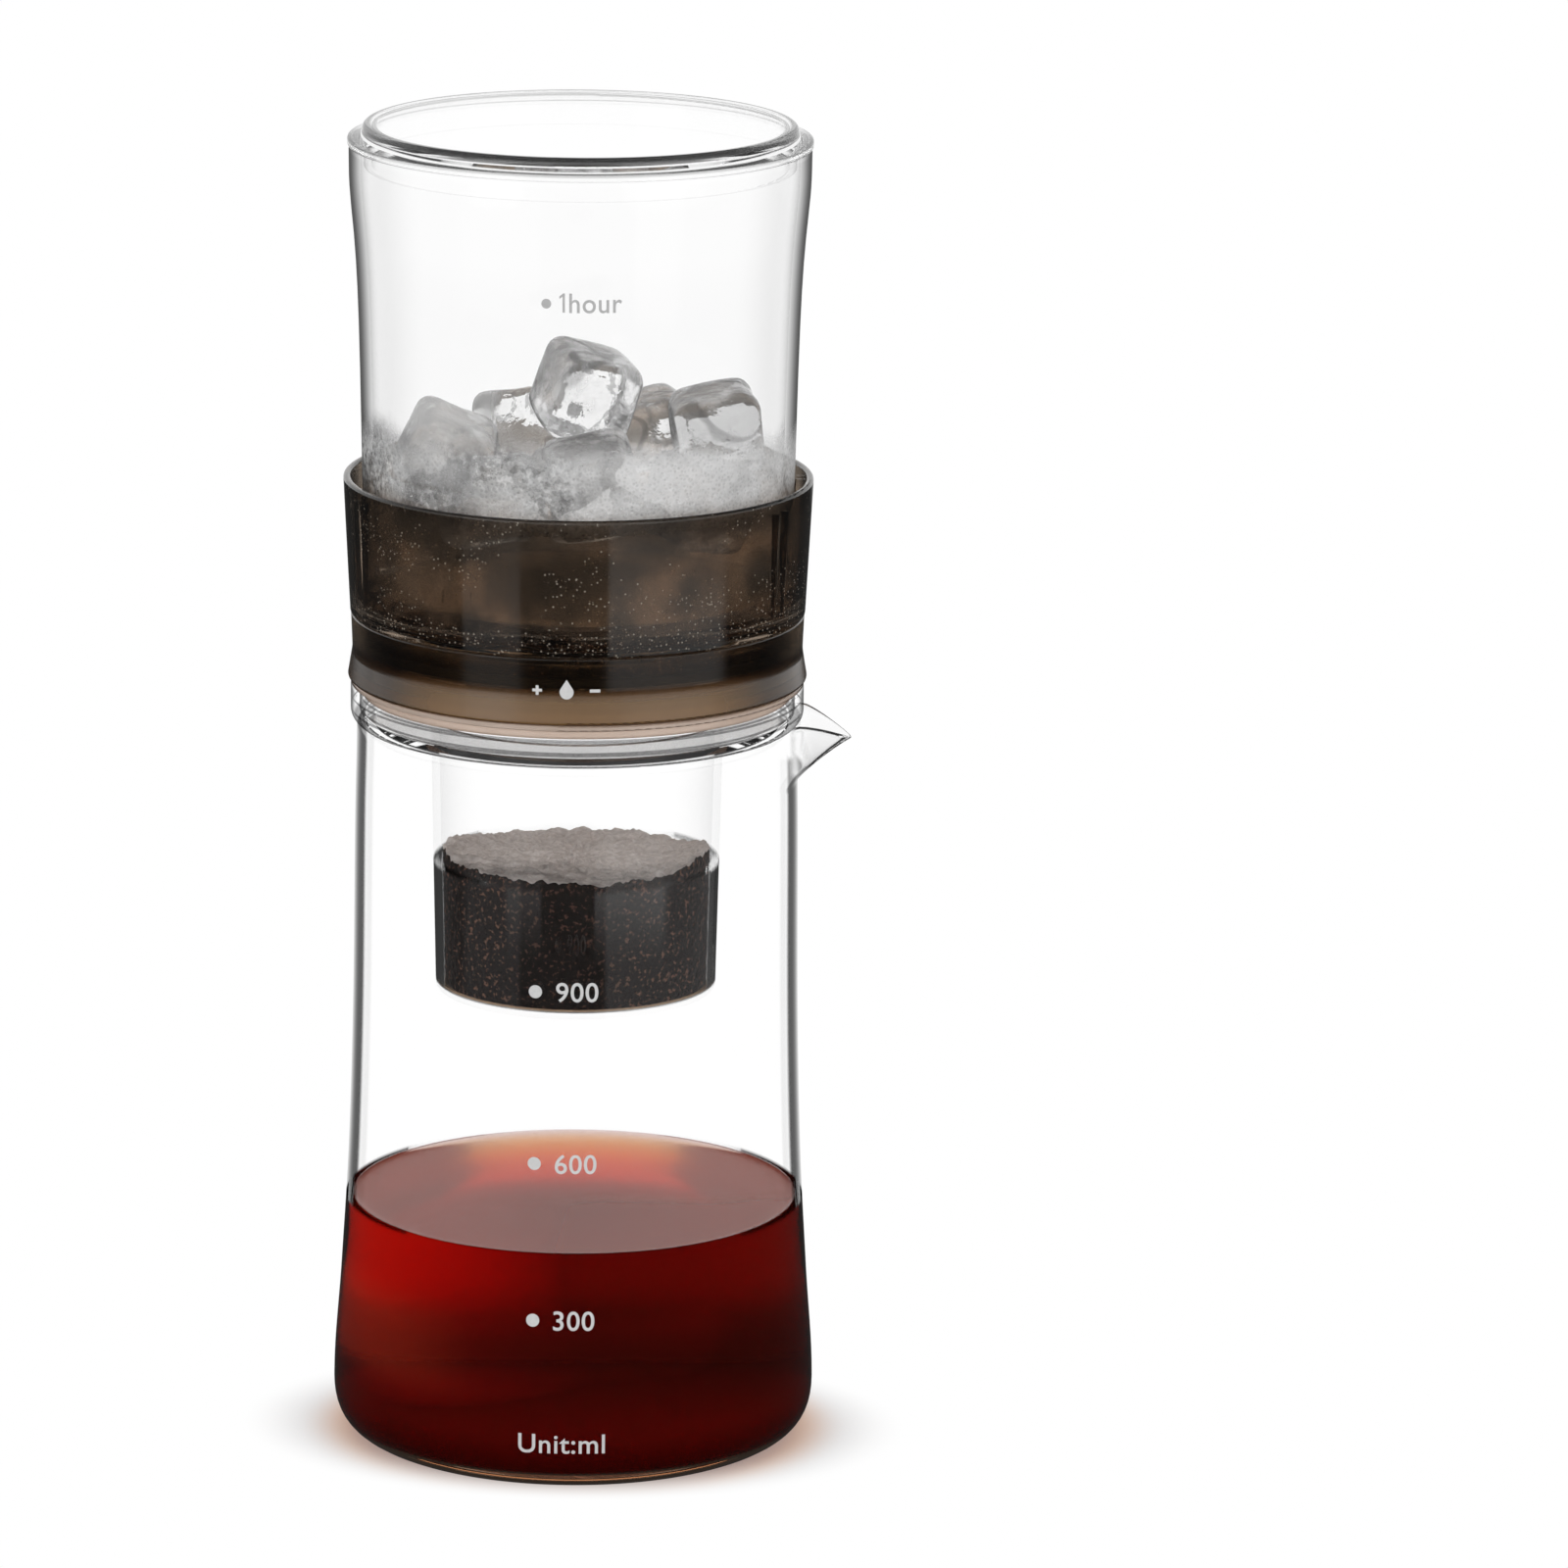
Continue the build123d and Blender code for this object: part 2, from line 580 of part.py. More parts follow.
def make_collar():
    rim_in = collar_bore_r(COLLAR_RIM_Z)
    floor_in = collar_bore_r(FLOOR_TOP_Z)
    spigot_in = COLLAR_SPIGOT_R - COLLAR_SPIGOT_WALL
    shell = turned(
        [
            (COLLAR_RIM_R, COLLAR_RIM_Z),
            (COLLAR_FOOT_R, COLLAR_Z),
            (COLLAR_SPIGOT_R, COLLAR_Z),
            (COLLAR_SPIGOT_R, SPIGOT_FOOT_Z),
            (spigot_in, SPIGOT_FOOT_Z),
            (spigot_in, FLOOR_Z),
            (0, FLOOR_Z),
            (0, FLOOR_TOP_Z),
            (floor_in, FLOOR_TOP_Z),
            (rim_in, COLLAR_RIM_Z),
        ],
        [COLLAR_RIM_ROUND, EDGE, 0, EDGE, EDGE, 1.0, 0, 0, COLLAR_CORNER_R, COLLAR_RIM_ROUND],
    )
    skin = COLLAR_WALL / 2
    outer_skin = turned([
        (0, COLLAR_Z),
        (COLLAR_FOOT_R - skin, COLLAR_Z),
        (COLLAR_RIM_R - skin, COLLAR_RIM_Z),
        (0, COLLAR_RIM_Z),
    ])
    ribs = [rib & outer_skin for rib in track_ribs()]
    pad_h = TANK_Z - FLOOR_TOP_Z
    pads = [
        place * Box(PAD_L, PAD_W, 2 * pad_h)
        for place in around(COLLAR_PADS, PAD_R, FLOOR_TOP_Z, 180.0 / COLLAR_PADS)
    ]
    post_h = FLOOR_Z + COLLAR_FLOOR_T / 2 - PLATE_TOP_Z
    post = Cylinder(POST_R, post_h)
    pilot = Cylinder(SCREW_R, 2 * SCREW_LENGTH)
    posts = [place * post for place in around(POSTS, SLOT_PCR, PLATE_TOP_Z + post_h / 2)]
    pilots = [place * pilot for place in around(POSTS, SLOT_PCR, PLATE_TOP_Z)]
    ring_low = ring_seat_z()
    ring_seat_r = DIAL_BORE_R - RUN - RING_DEPTH
    ring_seat = ring(ring_seat_r, COLLAR_SPIGOT_R + CUT, ring_low, ring_low + RING_T)
    gasket_seat = ring(GASKET_INNER_R, GASKET_OUTER_R, GASKET_Z, FLOOR_TOP_Z + CUT)
    hole = rod(BODY_R + RUN, FLOOR_Z - CUT, FLOOR_TOP_Z + CUT)
    return shell + ribs + pads + posts - pilots - ring_seat - gasket_seat - hole


def make_base_screws():
    screws = []
    head_z = PLATE_TOP_Z - PLATE_T
    for place in around(POSTS, SLOT_PCR, 0):
        head = rod(SCREW_HEAD_R, head_z, head_z + SCREW_HEAD_T)
        shank = rod(SCREW_R, head_z, head_z + SCREW_LENGTH)
        socket = hexagon(2 * SCREW_SOCKET_R, head_z - CUT, head_z + 0.6 * SCREW_HEAD_T)
        screws.append(place * (head + shank - socket))
    return screws


# ---- valve ------------------------------------------------------------------------------
def body_top_z():
    return FLOOR_TOP_Z + WASHER_T + BODY_FLANGE_T


def seat_z():
    return body_top_z() - SEAT_T


def spindle_rest_gap():
    """How far the spindle's shoulder stands below the seat when the dial is in mid-travel."""
    return SPINDLE_THREAD_LEAD * DIAL_TURN / 360.0 + TURN_GAP


def make_valve_body():
    foot = FLOOR_Z - BODY_DROP
    seat = seat_z()
    return turned(
        [
            (BORE_R, foot),
            (BODY_R, foot),
            (BODY_R, FLOOR_TOP_Z + WASHER_T),
            (BODY_FLANGE_R, FLOOR_TOP_Z + WASHER_T),
            (BODY_FLANGE_R, body_top_z()),
            (SEAT_R, body_top_z()),
            (SEAT_R, seat),
            (BORE_R, seat),
        ],
        [EDGE / 2, EDGE, 0, EDGE / 2, EDGE, 0, 0, 0],
    )


def make_valve_washer():
    return ring(BODY_R + RUN, BODY_FLANGE_R, FLOOR_TOP_Z, FLOOR_TOP_Z + WASHER_T)


def make_valve_nut():
    nut = hexagon(NUT_ACROSS_FLATS, FLOOR_Z - NUT_T, FLOOR_Z)
    return nut - rod(BODY_R, FLOOR_Z - NUT_T - CUT, FLOOR_Z + CUT)


def make_valve_seat():
    return turned(
        [
            (SEAT_HOLE_R, seat_z()),
            (SEAT_R, seat_z()),
            (SEAT_R, body_top_z()),
            (SEAT_HOLE_R + SEAT_BEVEL, body_top_z()),
            (SEAT_HOLE_R, seat_z() + SEAT_T / 2),
        ]
    )


def shoulder_z():
    return seat_z() - spindle_rest_gap()


def inlet_z():
    return shoulder_z() - INLET_DROP


def o_ring_z():
    """The O-ring lies just below the cross bore, so that water can only leave through the spindle."""
    return inlet_z() - 2 * DRIP_BORE_R - O_RING_T


def make_valve_spindle():
    shoulder = shoulder_z()
    needle_r = SEAT_HOLE_R - RUN
    climb = SPINDLE_THREAD_LEAD * DIAL_TURN / 360.0
    hex_top = HUB_TOP_Z + climb + HEX_SPARE
    hex_foot = HUB_Z
    tip_foot = hex_foot - TIP_LENGTH
    stem = turned([
        (0, hex_top),
        (SPINDLE_R, hex_top),
        (SPINDLE_R, shoulder),
        (needle_r, shoulder),
        (NEEDLE_POINT_R, shoulder + NEEDLE_LENGTH),
        (0, shoulder + NEEDLE_LENGTH),
    ])
    drive = hexagon(HEX_ACROSS_FLATS, hex_foot, hex_top)
    tip = turned([
        (0, tip_foot),
        (TIP_POINT_R, tip_foot),
        (TIP_R, tip_foot + TIP_LENGTH / 2),
        (TIP_R, hex_foot),
        (0, hex_foot),
    ])
    groove = ring(SPINDLE_R - O_RING_DEPTH, SPINDLE_R + CUT, o_ring_z(), o_ring_z() + O_RING_T)
    drip = rod(DRIP_BORE_R, tip_foot - CUT, inlet_z())
    inlet = Pos(0, 0, inlet_z()) * Rot(0, 90, 0) * Cylinder(DRIP_BORE_R, 2 * SPINDLE_R + CUT)
    return stem + drive + tip - groove - drip - inlet


def make_spindle_o_ring():
    low = o_ring_z()
    inner = SPINDLE_R - O_RING_DEPTH
    outer = BORE_R - RUN / 2
    return turned(
        [(inner, low), (outer, low), (outer, low + O_RING_T), (inner, low + O_RING_T)],
        [0, EDGE, EDGE, 0],
    )


# ---- tank and lid -----------------------------------------------------------------------
def make_tank_gasket():
    return turned(
        [
            (GASKET_INNER_R + RUN, GASKET_Z),
            (GASKET_OUTER_R - RUN, GASKET_Z),
            (GASKET_OUTER_R - RUN, TANK_Z),
            (GASKET_INNER_R + RUN, TANK_Z),
        ],
        [0, 0, EDGE, EDGE],
    )


def tank_wall_points(inset):
    flare = TANK_RIM_R - TANK_FOOT_R
    return [(TANK_FOOT_R + flare * share - inset, TANK_RIM_Z - depth) for depth, share in TANK_CURVE]


def tank_shape(inset, floor_z, corner_r, top_z):
    """The tank's outline filled in, drawn inwards by inset and standing at floor_z."""
    foot_r = TANK_FOOT_R - inset
    rim_r = TANK_RIM_R - inset
    start = (foot_r, floor_z + corner_r)
    side = Spline(start, *tank_wall_points(inset), (rim_r, TANK_RIM_Z), tangents=((0, 1), (0.05, 1)))
    corner = RadiusArc((foot_r - corner_r, floor_z), start, -corner_r)
    rest = Polyline(
        (rim_r, TANK_RIM_Z), (rim_r, top_z), (0, top_z), (0, floor_z), (foot_r - corner_r, floor_z)
    )
    return revolve(Plane.XZ * make_face([corner, side, rest]), Axis.Z)


def tank_inside(inset, top_z):
    corner_r = TANK_CORNER_R - TANK_WALL
    return tank_shape(TANK_WALL + inset, TANK_FLOOR_Z + inset, corner_r, top_z)


def make_tank():
    high = TANK_RIM_Z + CUT
    outside = tank_shape(0.0, TANK_Z, TANK_CORNER_R, high) & rod(2 * TANK_RIM_R, TANK_Z, TANK_RIM_Z)
    shell = outside - tank_inside(0.0, high)
    shell = fillet(shell.edges().group_by(Axis.Z)[-1], 0.4 * TANK_WALL)
    outlet = rod(OUTLET_R, TANK_Z - CUT, TANK_FLOOR_Z + CUT)
    recess = rod(STRAINER_R + CONTENTS_GAP, TANK_FLOOR_Z - STRAINER_T, TANK_FLOOR_Z + CUT)
    lug_length = LUG_REACH + TANK_WALL / 2
    middle = TANK_WAIST_R + LUG_REACH - lug_length / 2
    lug = Pos(middle, 0, TANK_Z + LUG_RISE) * Rot(0, 90, 0) * Cylinder(LUG_R, lug_length)
    lugs = [Rot(0, 0, angle) * lug for angle in lug_angles()]
    return shell + lugs - outlet - recess


def make_outlet_strainer():
    return perforated(STRAINER_R, TANK_FLOOR_Z - STRAINER_T, STRAINER_T, STRAINER_HOLE_R, STRAINER_PITCH)


def ice_heap(gap=0.0):
    """Rounded cubes heaped in the tank, or a little more room than they take."""
    side = CUBE + 2 * gap
    block = Box(side, side, side)
    cube = fillet(block.edges(), CUBE_ROUND + gap)
    return [
        Pos(x, y, TANK_FLOOR_Z + rise) * Rot(turn_x, turn_y, turn_z) * cube
        for x, y, rise, turn_x, turn_y, turn_z in CUBES
    ]


def make_ice_cubes():
    return ice_heap()


def make_ice_water():
    """Water up to its level, with the cubes' places left free."""
    water = tank_inside(CONTENTS_GAP, TANK_RIM_Z + CUT) & rod(2 * TANK_RIM_R, TANK_Z, WATER_Z)
    return water - ice_heap(CONTENTS_GAP)


def make_lid():
    spigot_r = TANK_RIM_R - TANK_WALL - LID_CLEARANCE
    top = LID_FLANGE_Z + LID_RISE
    under = top - LID_TOP_T
    return turned(
        [
            (0, top),
            (LID_TOP_R, top),
            (LID_TOP_R, LID_FLANGE_Z + LID_STEP),
            (LID_FLANGE_R, LID_FLANGE_Z),
            (LID_FLANGE_R, LID_Z),
            (spigot_r, LID_Z),
            (spigot_r, LID_Z - LID_SPIGOT_H),
            (spigot_r - LID_SPIGOT_WALL, LID_Z - LID_SPIGOT_H),
            (spigot_r - LID_SPIGOT_WALL, under),
            (0, under),
        ],
        [0, LID_ROUND, EDGE, EDGE, EDGE, 0, EDGE, EDGE, 1.0, 0],
    )


# ---- nodes ------------------------------------------------------------------------------
NODES = {
    "carafe": make_carafe,
    "brewed_coffee": make_brewed_coffee,
    "filter_basket": make_filter_basket,
    "screen_mesh": make_screen_mesh,
    "paper_filter": make_paper_filter,
    "coffee_grounds": make_coffee_grounds,
    "base_plate": make_base_plate,
    "base_screws": make_base_screws,
    "dial": make_dial,
    "friction_ring": make_friction_ring,
    "collar": make_collar,
    "valve_body": make_valve_body,
    "valve_washer": make_valve_washer,
    "valve_nut": make_valve_nut,
    "valve_seat": make_valve_seat,
    "valve_spindle": make_valve_spindle,
    "spindle_o_ring": make_spindle_o_ring,
    "tank_gasket": make_tank_gasket,
    "tank": make_tank,
    "outlet_strainer": make_outlet_strainer,
    "ice_cubes": make_ice_cubes,
    "ice_water": make_ice_water,
    "lid": make_lid,
}


def main():
    os.makedirs("parts", exist_ok=True)
    for name, make in NODES.items():
        shape = make()
        solids = shape if isinstance(shape, list) else shape.solids()
        solids = [solid for piece in solids for solid in piece.solids()]
        whole = solids[0] if len(solids) == 1 else Compound(children=solids)
        whole.label = name
        export_step(whole, f"parts/{name}.step")
        print(name, len(solids), round(sum(solid.volume for solid in solids)))


main()
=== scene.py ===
# %% [markdown]
# # A cold drip coffee maker
# Ice water drips from a clear tank, through a valve, into a bed of ground coffee, and the brew collects in
# a glass carafe. The solids come from a CAD model. This lesson dresses them in glass, smoke-brown plastic,
# ice and coffee, adds the printed marks, and lights the whole on a white table. Shapes are given in
# millimetres, and MM turns those into Blender's metres.

# %% Load the CAD frame
import math

import bmesh
import bpy
from mathutils import Euler, Matrix, Vector, noise


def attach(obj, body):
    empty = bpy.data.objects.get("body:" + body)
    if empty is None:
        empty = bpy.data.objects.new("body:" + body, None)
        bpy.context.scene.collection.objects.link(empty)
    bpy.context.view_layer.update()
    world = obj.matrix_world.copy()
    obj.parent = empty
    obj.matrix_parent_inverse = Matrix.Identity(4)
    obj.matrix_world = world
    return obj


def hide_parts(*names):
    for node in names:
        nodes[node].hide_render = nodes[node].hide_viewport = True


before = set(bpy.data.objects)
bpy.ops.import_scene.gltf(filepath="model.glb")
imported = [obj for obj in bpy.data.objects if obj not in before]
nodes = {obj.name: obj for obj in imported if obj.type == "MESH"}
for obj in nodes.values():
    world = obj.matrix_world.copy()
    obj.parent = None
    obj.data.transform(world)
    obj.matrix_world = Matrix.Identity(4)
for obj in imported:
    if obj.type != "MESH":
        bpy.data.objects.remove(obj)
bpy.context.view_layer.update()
MM = 0.001


def add_object(name, data):
    """A new object at the origin, which is where the CAD model has its own."""
    made = bpy.data.objects.new(name, data)
    bpy.context.scene.collection.objects.link(made)
    return made


# %% [markdown]
# ## Camera
# A product picture is taken from far away with a long lens, so that upright lines stay nearly parallel. The
# camera stands 3.5 degrees to the right of the front, 13.6 degrees above the table, and aims a little to
# the right of the maker's axis. It is also rolled by two thirds of a degree.

# %% Place the camera
VIEW_AZIMUTH = math.radians(3.5)
VIEW_ELEVATION = math.radians(13.607)
VIEW_ROLL = math.radians(0.686)
VIEW_DISTANCE = 1.9387
AIM_HEIGHT = 151.7
AIM_RIGHT = 46.8
SENSOR_WIDTH = 36.0
FRAME_SHARE = 8758 / 1600  # focal length as a multiple of the frame's width

backwards = Vector((
    math.sin(VIEW_AZIMUTH) * math.cos(VIEW_ELEVATION),
    -math.cos(VIEW_AZIMUTH) * math.cos(VIEW_ELEVATION),
    math.sin(VIEW_ELEVATION),
))
sideways = Vector((math.cos(VIEW_AZIMUTH), math.sin(VIEW_AZIMUTH), 0.0))
aim = Vector((0.0, 0.0, AIM_HEIGHT * MM)) + sideways * AIM_RIGHT * MM

camera = add_object("studio_camera", bpy.data.cameras.new("studio_camera"))
camera.data.sensor_width = SENSOR_WIDTH
camera.data.lens = SENSOR_WIDTH * FRAME_SHARE
camera.location = aim + backwards * VIEW_DISTANCE
towards_maker = backwards.to_track_quat("Z", "Y").to_matrix().to_4x4()
roll = Matrix.Rotation(VIEW_ROLL, 4, "Z")
camera.matrix_world = Matrix.Translation(camera.location) @ towards_maker @ roll
bpy.context.scene.camera = camera
print("lens:", round(camera.data.lens, 1), "mm")

# %% [markdown]
# ## Shaders as arithmetic
# A procedural finish is a graph of nodes. It could be drawn by hand in the shader editor, but sums are
# easier to read and to change. So one small class wraps a node's output and turns + - * and ** into Math
# nodes, and a second one holds the graph and has one method that adds any other node. Colours never go
# through Math nodes, because those turn a colour grey.


# %% Wrap a node's output
def adds_math(operation, reflected=False):
    """A method that adds one Math node. Reflected, it serves a number on the left, as in 1 - mask."""

    def method(self, other):
        first, second = (other, self) if reflected else (self, other)
        return self.graph.math(operation, first, second)

    return method


class Signal:
    """One output of a shader node, ready for ordinary arithmetic."""

    def __init__(self, graph, socket):
        self.graph = graph
        self.socket = socket

    def output(self, name):
        return Signal(self.graph, self.socket.node.outputs[name])

    __add__, __radd__ = adds_math("ADD"), adds_math("ADD", reflected=True)
    __sub__, __rsub__ = adds_math("SUBTRACT"), adds_math("SUBTRACT", reflected=True)
    __mul__, __rmul__ = adds_math("MULTIPLY"), adds_math("MULTIPLY", reflected=True)
    __pow__, __rpow__ = adds_math("POWER"), adds_math("POWER", reflected=True)


print("signals ready")


# %% Hold a graph of nodes
class Graph:
    """A node tree that is built by calls."""

    def __init__(self, tree):
        self.tree = tree
        self.tree.nodes.clear()

    def node(self, kind, settings=None, inputs=None):
        """Adds a node, first its settings, then the values or links of its sockets."""
        node = self.tree.nodes.new(kind)
        for name, value in (settings or {}).items():
            setattr(node, name, value)
        for name, value in (inputs or {}).items():
            if isinstance(value, Signal):
                self.tree.links.new(value.socket, node.inputs[name])
            else:
                node.inputs[name].default_value = value
        return Signal(self, node.outputs[0]) if len(node.outputs) else node

    def math(self, operation, first, second):
        return self.node("ShaderNodeMath", {"operation": operation}, {0: first, 1: second})

    def most(self, first, second):
        return self.math("MAXIMUM", first, second)

    def blend(self, first, second, factor):
        """A colour that goes from first to second."""
        made = self.node("ShaderNodeMix", {"data_type": "RGBA"}, {0: factor, 6: first, 7: second})
        return Signal(self, made.socket.node.outputs[2])

    def rise(self, value, low, high):
        """0 below low, 1 above high, with a soft step between them."""
        settings = {"interpolation_type": "SMOOTHSTEP"}
        return self.node("ShaderNodeMapRange", settings, {"Value": value, "From Min": low, "From Max": high})

    def between(self, value, low, full, fading, gone):
        """1 from full to fading, 0 below low and above gone."""
        return self.rise(value, low, full) * (1 - self.rise(value, fading, gone))

    def place(self):
        """Where a point is, in metres and in the CAD's own frame."""
        return self.node("ShaderNodeTexCoord").output("Object")

    def axes(self, vector):
        parts = self.node("ShaderNodeSeparateXYZ", {}, {0: vector})
        return parts.output("X"), parts.output("Y"), parts.output("Z")

    def from_axis(self, x, y):
        """How far a point is from the upright axis."""
        return (x * x + y * y) ** 0.5

    def upwards(self):
        """1 where a face looks up, 0 where it is upright, -1 where it looks down."""
        return self.axes(self.node("ShaderNodeTexCoord").output("Normal"))[2]

    def facing(self):
        """0 where a face looks at the eye, 1 where the eye grazes it."""
        return self.node("ShaderNodeLayerWeight", {}, {"Blend": 0.5}).output("Facing")

    def grain(self, vector, size, detail=2.0, roughness=0.5):
        """Noise whose lumps are about this many millimetres across."""
        inputs = {"Vector": vector, "Scale": 1000.0 / size, "Detail": detail, "Roughness": roughness}
        return self.node("ShaderNodeTexNoise", {}, inputs)

    def cells(self, vector, scale):
        """A crowd of cells: 0 at the middle of each, more towards its edge."""
        return self.node("ShaderNodeTexVoronoi", {}, {"Vector": vector, "Scale": scale})

    def bump(self, height, strength, reach):
        inputs = {"Height": height, "Strength": strength, "Distance": reach * MM}
        return self.node("ShaderNodeBump", {}, inputs)

    def principled(self, colour, roughness, more=None):
        inputs = {"Base Color": colour, "Roughness": roughness, **(more or {})}
        return self.node("ShaderNodeBsdfPrincipled", {}, inputs)

    def diffuse(self, colour):
        return self.node("ShaderNodeBsdfDiffuse", {}, {"Color": colour})

    def open_way(self, colour):
        """Lets light straight on through a colour."""
        return self.node("ShaderNodeBsdfTransparent", {}, {"Color": colour})

    def mix_shader(self, first, second, factor):
        return self.node("ShaderNodeMixShader", {}, {0: factor, 1: first, 2: second})

    def surface(self, shader):
        self.node("ShaderNodeOutputMaterial", {}, {"Surface": shader})


print("graphs ready")


# %% Start a finish
def new_finish(name):
    """An empty material and its graph."""
    material = bpy.data.materials.new(name)
    material.use_nodes = True
    return material, Graph(material.node_tree)


def rgb(red, green, blue):
    return (red, green, blue, 1.0)


def grey(value):
    return rgb(value, value, value)


print("shader helpers ready")

# %% [markdown]
# ## White table and studio light
# The table and the backdrop are white for the camera and for anything seen through glass. Stronger lamps
# would make them white too, but they would bleach the maker, so the white comes from their own colour. Far
# from the maker the table is pure white, and near it the table takes real light and shadow. A faint warm
# ring of painted light at the carafe's foot stands in for the light that coffee lets through.
#
# In a studio, black and white cards stand round glass, so that its walls mirror something. Here the table
# does that: a mirrored ray finds it dark, with two pale cards on it and a white rim far away.

# %% Set the world
AMBIENT = 0.42

world = bpy.data.worlds.new("studio_world")
bpy.context.scene.world = world
world.use_nodes = True
studio = Graph(world.node_tree)
height = studio.axes(studio.node("ShaderNodeTexCoord").output("Generated"))[2]
backdrop_colour = studio.blend(grey(1.0), grey(0.12), studio.rise(height, 0.45, 0.80))
ray = studio.node("ShaderNodeLightPath")
bent = studio.most(ray.output("Is Glossy Ray"), ray.output("Is Transmission Ray"))


def background(colour, strength=1.0):
    return studio.node("ShaderNodeBackground", {}, {"Color": colour, "Strength": strength})


sky = studio.mix_shader(background(grey(1.0), AMBIENT), background(backdrop_colour), bent)
sky = studio.mix_shader(sky, background(grey(1.0)), ray.output("Is Camera Ray"))
studio.node("ShaderNodeOutputWorld", {}, {"Surface": sky})
print("world set")


# %% What the table shows to each ray
def mirrored_ray(graph):
    """1 for a ray that has met a mirror, 0 for any other."""
    return graph.math("MINIMUM", graph.node("ShaderNodeLightPath").output("Glossy Depth"), 1.0)


def glowing(graph, colour, strength=1.0):
    return graph.node("ShaderNodeEmission", {}, {"Color": colour, "Strength": strength})


def table_for_mirrors(graph, x, y, distance):
    """A dark table with a pale card to the left and one to the right."""
    around = graph.math("ARCTAN2", x, 0 - y)
    left_card = graph.between(around, -0.95, -0.90, -0.43, -0.38)
    right_card = graph.between(around, 0.32, 0.37, 1.35, 1.5)
    in_reach = graph.between(distance, 0.40, 0.50, 0.66, 0.80)
    cards = (0.40 * left_card + 0.76 * right_card) * in_reach
    rim = graph.most(graph.rise(distance, 1.5, 2.6), graph.rise(y, 0.95, 1.20))
    return glowing(graph, graph.blend(grey(0.035), grey(1.0), graph.most(rim, cards)))


def table_white():
    material, graph = new_finish("table_white")
    x, y = graph.axes(graph.place())[:2]
    distance = graph.from_axis(x, y)
    far = graph.rise(graph.from_axis(x, y * 1.35), 0.051, 0.077)
    # painted light: a warm ring at the carafe's foot, for light through the coffee
    painted_caustic = 1 - graph.rise(distance, 0.050, 0.064)
    ray = graph.node("ShaderNodeLightPath")
    seen = graph.most(ray.output("Is Camera Ray"), ray.output("Is Transmission Ray"))
    lit = graph.diffuse(graph.blend(grey(0.76), rgb(0.80, 0.42, 0.20), painted_caustic))
    glow = glowing(graph, grey(1.0), seen * 0.22)
    near_look = graph.node("ShaderNodeAddShader", {}, {0: lit, 1: glow})
    table_look = graph.mix_shader(near_look, glowing(graph, grey(1.0)), far * seen)
    dark_table = table_for_mirrors(graph, x, y, distance)
    graph.surface(graph.mix_shader(table_look, dark_table, mirrored_ray(graph)))
    return material


table_finish = table_white()
print("table finish ready")

# %% Lay the table
TABLE_REACH = 8.0

corners = [(TABLE_REACH * x, TABLE_REACH * y, 0.0) for x, y in ((-1, -1), (1, -1), (1, 1), (-1, 1))]
table_mesh = bpy.data.meshes.new("table_top")
table_mesh.from_pydata(corners, [], [(0, 1, 2, 3)])
table_top = add_object("table_top", table_mesh)
table_top.data.materials.append(table_finish)
print("table laid")

# %% Hang the softboxes
SOFTBOX_AIM = Vector((0.0, 0.0, 0.16))
MIRROR_DIMMING = 0.78  # softboxes are dimmer in mirrors, so that glass shows no broad white panels


def softbox(name, azimuth, distance, height, width, tall, radiance):
    """A lit rectangle that faces the maker, azimuth degrees to the right of its front."""
    turn = math.radians(azimuth)
    spot = Vector((math.sin(turn) * distance, -math.cos(turn) * distance, height))
    lamp = bpy.data.lights.new(name, "AREA")
    lamp.shape = "RECTANGLE"
    lamp.size = width
    lamp.size_y = tall
    lamp.energy = radiance * math.pi * width * tall
    lamp.use_nodes = True
    graph = Graph(lamp.node_tree)
    dimmed = 1 - MIRROR_DIMMING * mirrored_ray(graph)
    emission = graph.node("ShaderNodeEmission", {}, {"Strength": dimmed})
    graph.node("ShaderNodeOutputLight", {}, {"Surface": emission})
    holder = add_object(name, lamp)
    holder.location = spot
    holder.rotation_euler = (spot - SOFTBOX_AIM).to_track_quat("Z", "Y").to_euler()


softbox("softbox_left", -38.5, 1.3, 0.35, 0.62, 1.3, 2.2)
softbox("softbox_right", 50.0, 1.3, 0.35, 1.15, 1.3, 1.3)
softbox("softbox_top", 180.0, 0.35, 1.5, 1.3, 1.0, 1.6)

# %% [markdown]
# ## Clear finishes
# Glass and clear plastic both bend light, and both go dark where the eye grazes them. That dark line comes
# from the Facing value of a Layer Weight node. A thick piece, or one that touches a liquid, gets a shader
# that bends light. A thin wall hardly bends it, and every bend costs noise, so it gets Transparent shaders
# and a faint mirror. Bent light would throw a black shadow, so lamps see a Transparent shader in both.

# %% Bend light, or let it straight on
MIRROR_SHARE = 0.014


def clear_parts(graph, tint, edge, start, ior, roughness=0.0, normal=None, stop=0.9):
    """A shader that bends light, and darkens where the eye grazes it more than start."""
    level = graph.upwards()
    upright = 1 - graph.rise(level * level, 0.25, 0.75)
    colour = graph.blend(tint, edge, graph.rise(graph.facing(), start, stop) * upright)
    bent = {"IOR": ior, "Specular IOR Level": 0.28, "Transmission Weight": 1.0}
    if normal is not None:
        bent["Normal"] = normal
    return graph.principled(colour, roughness, bent)


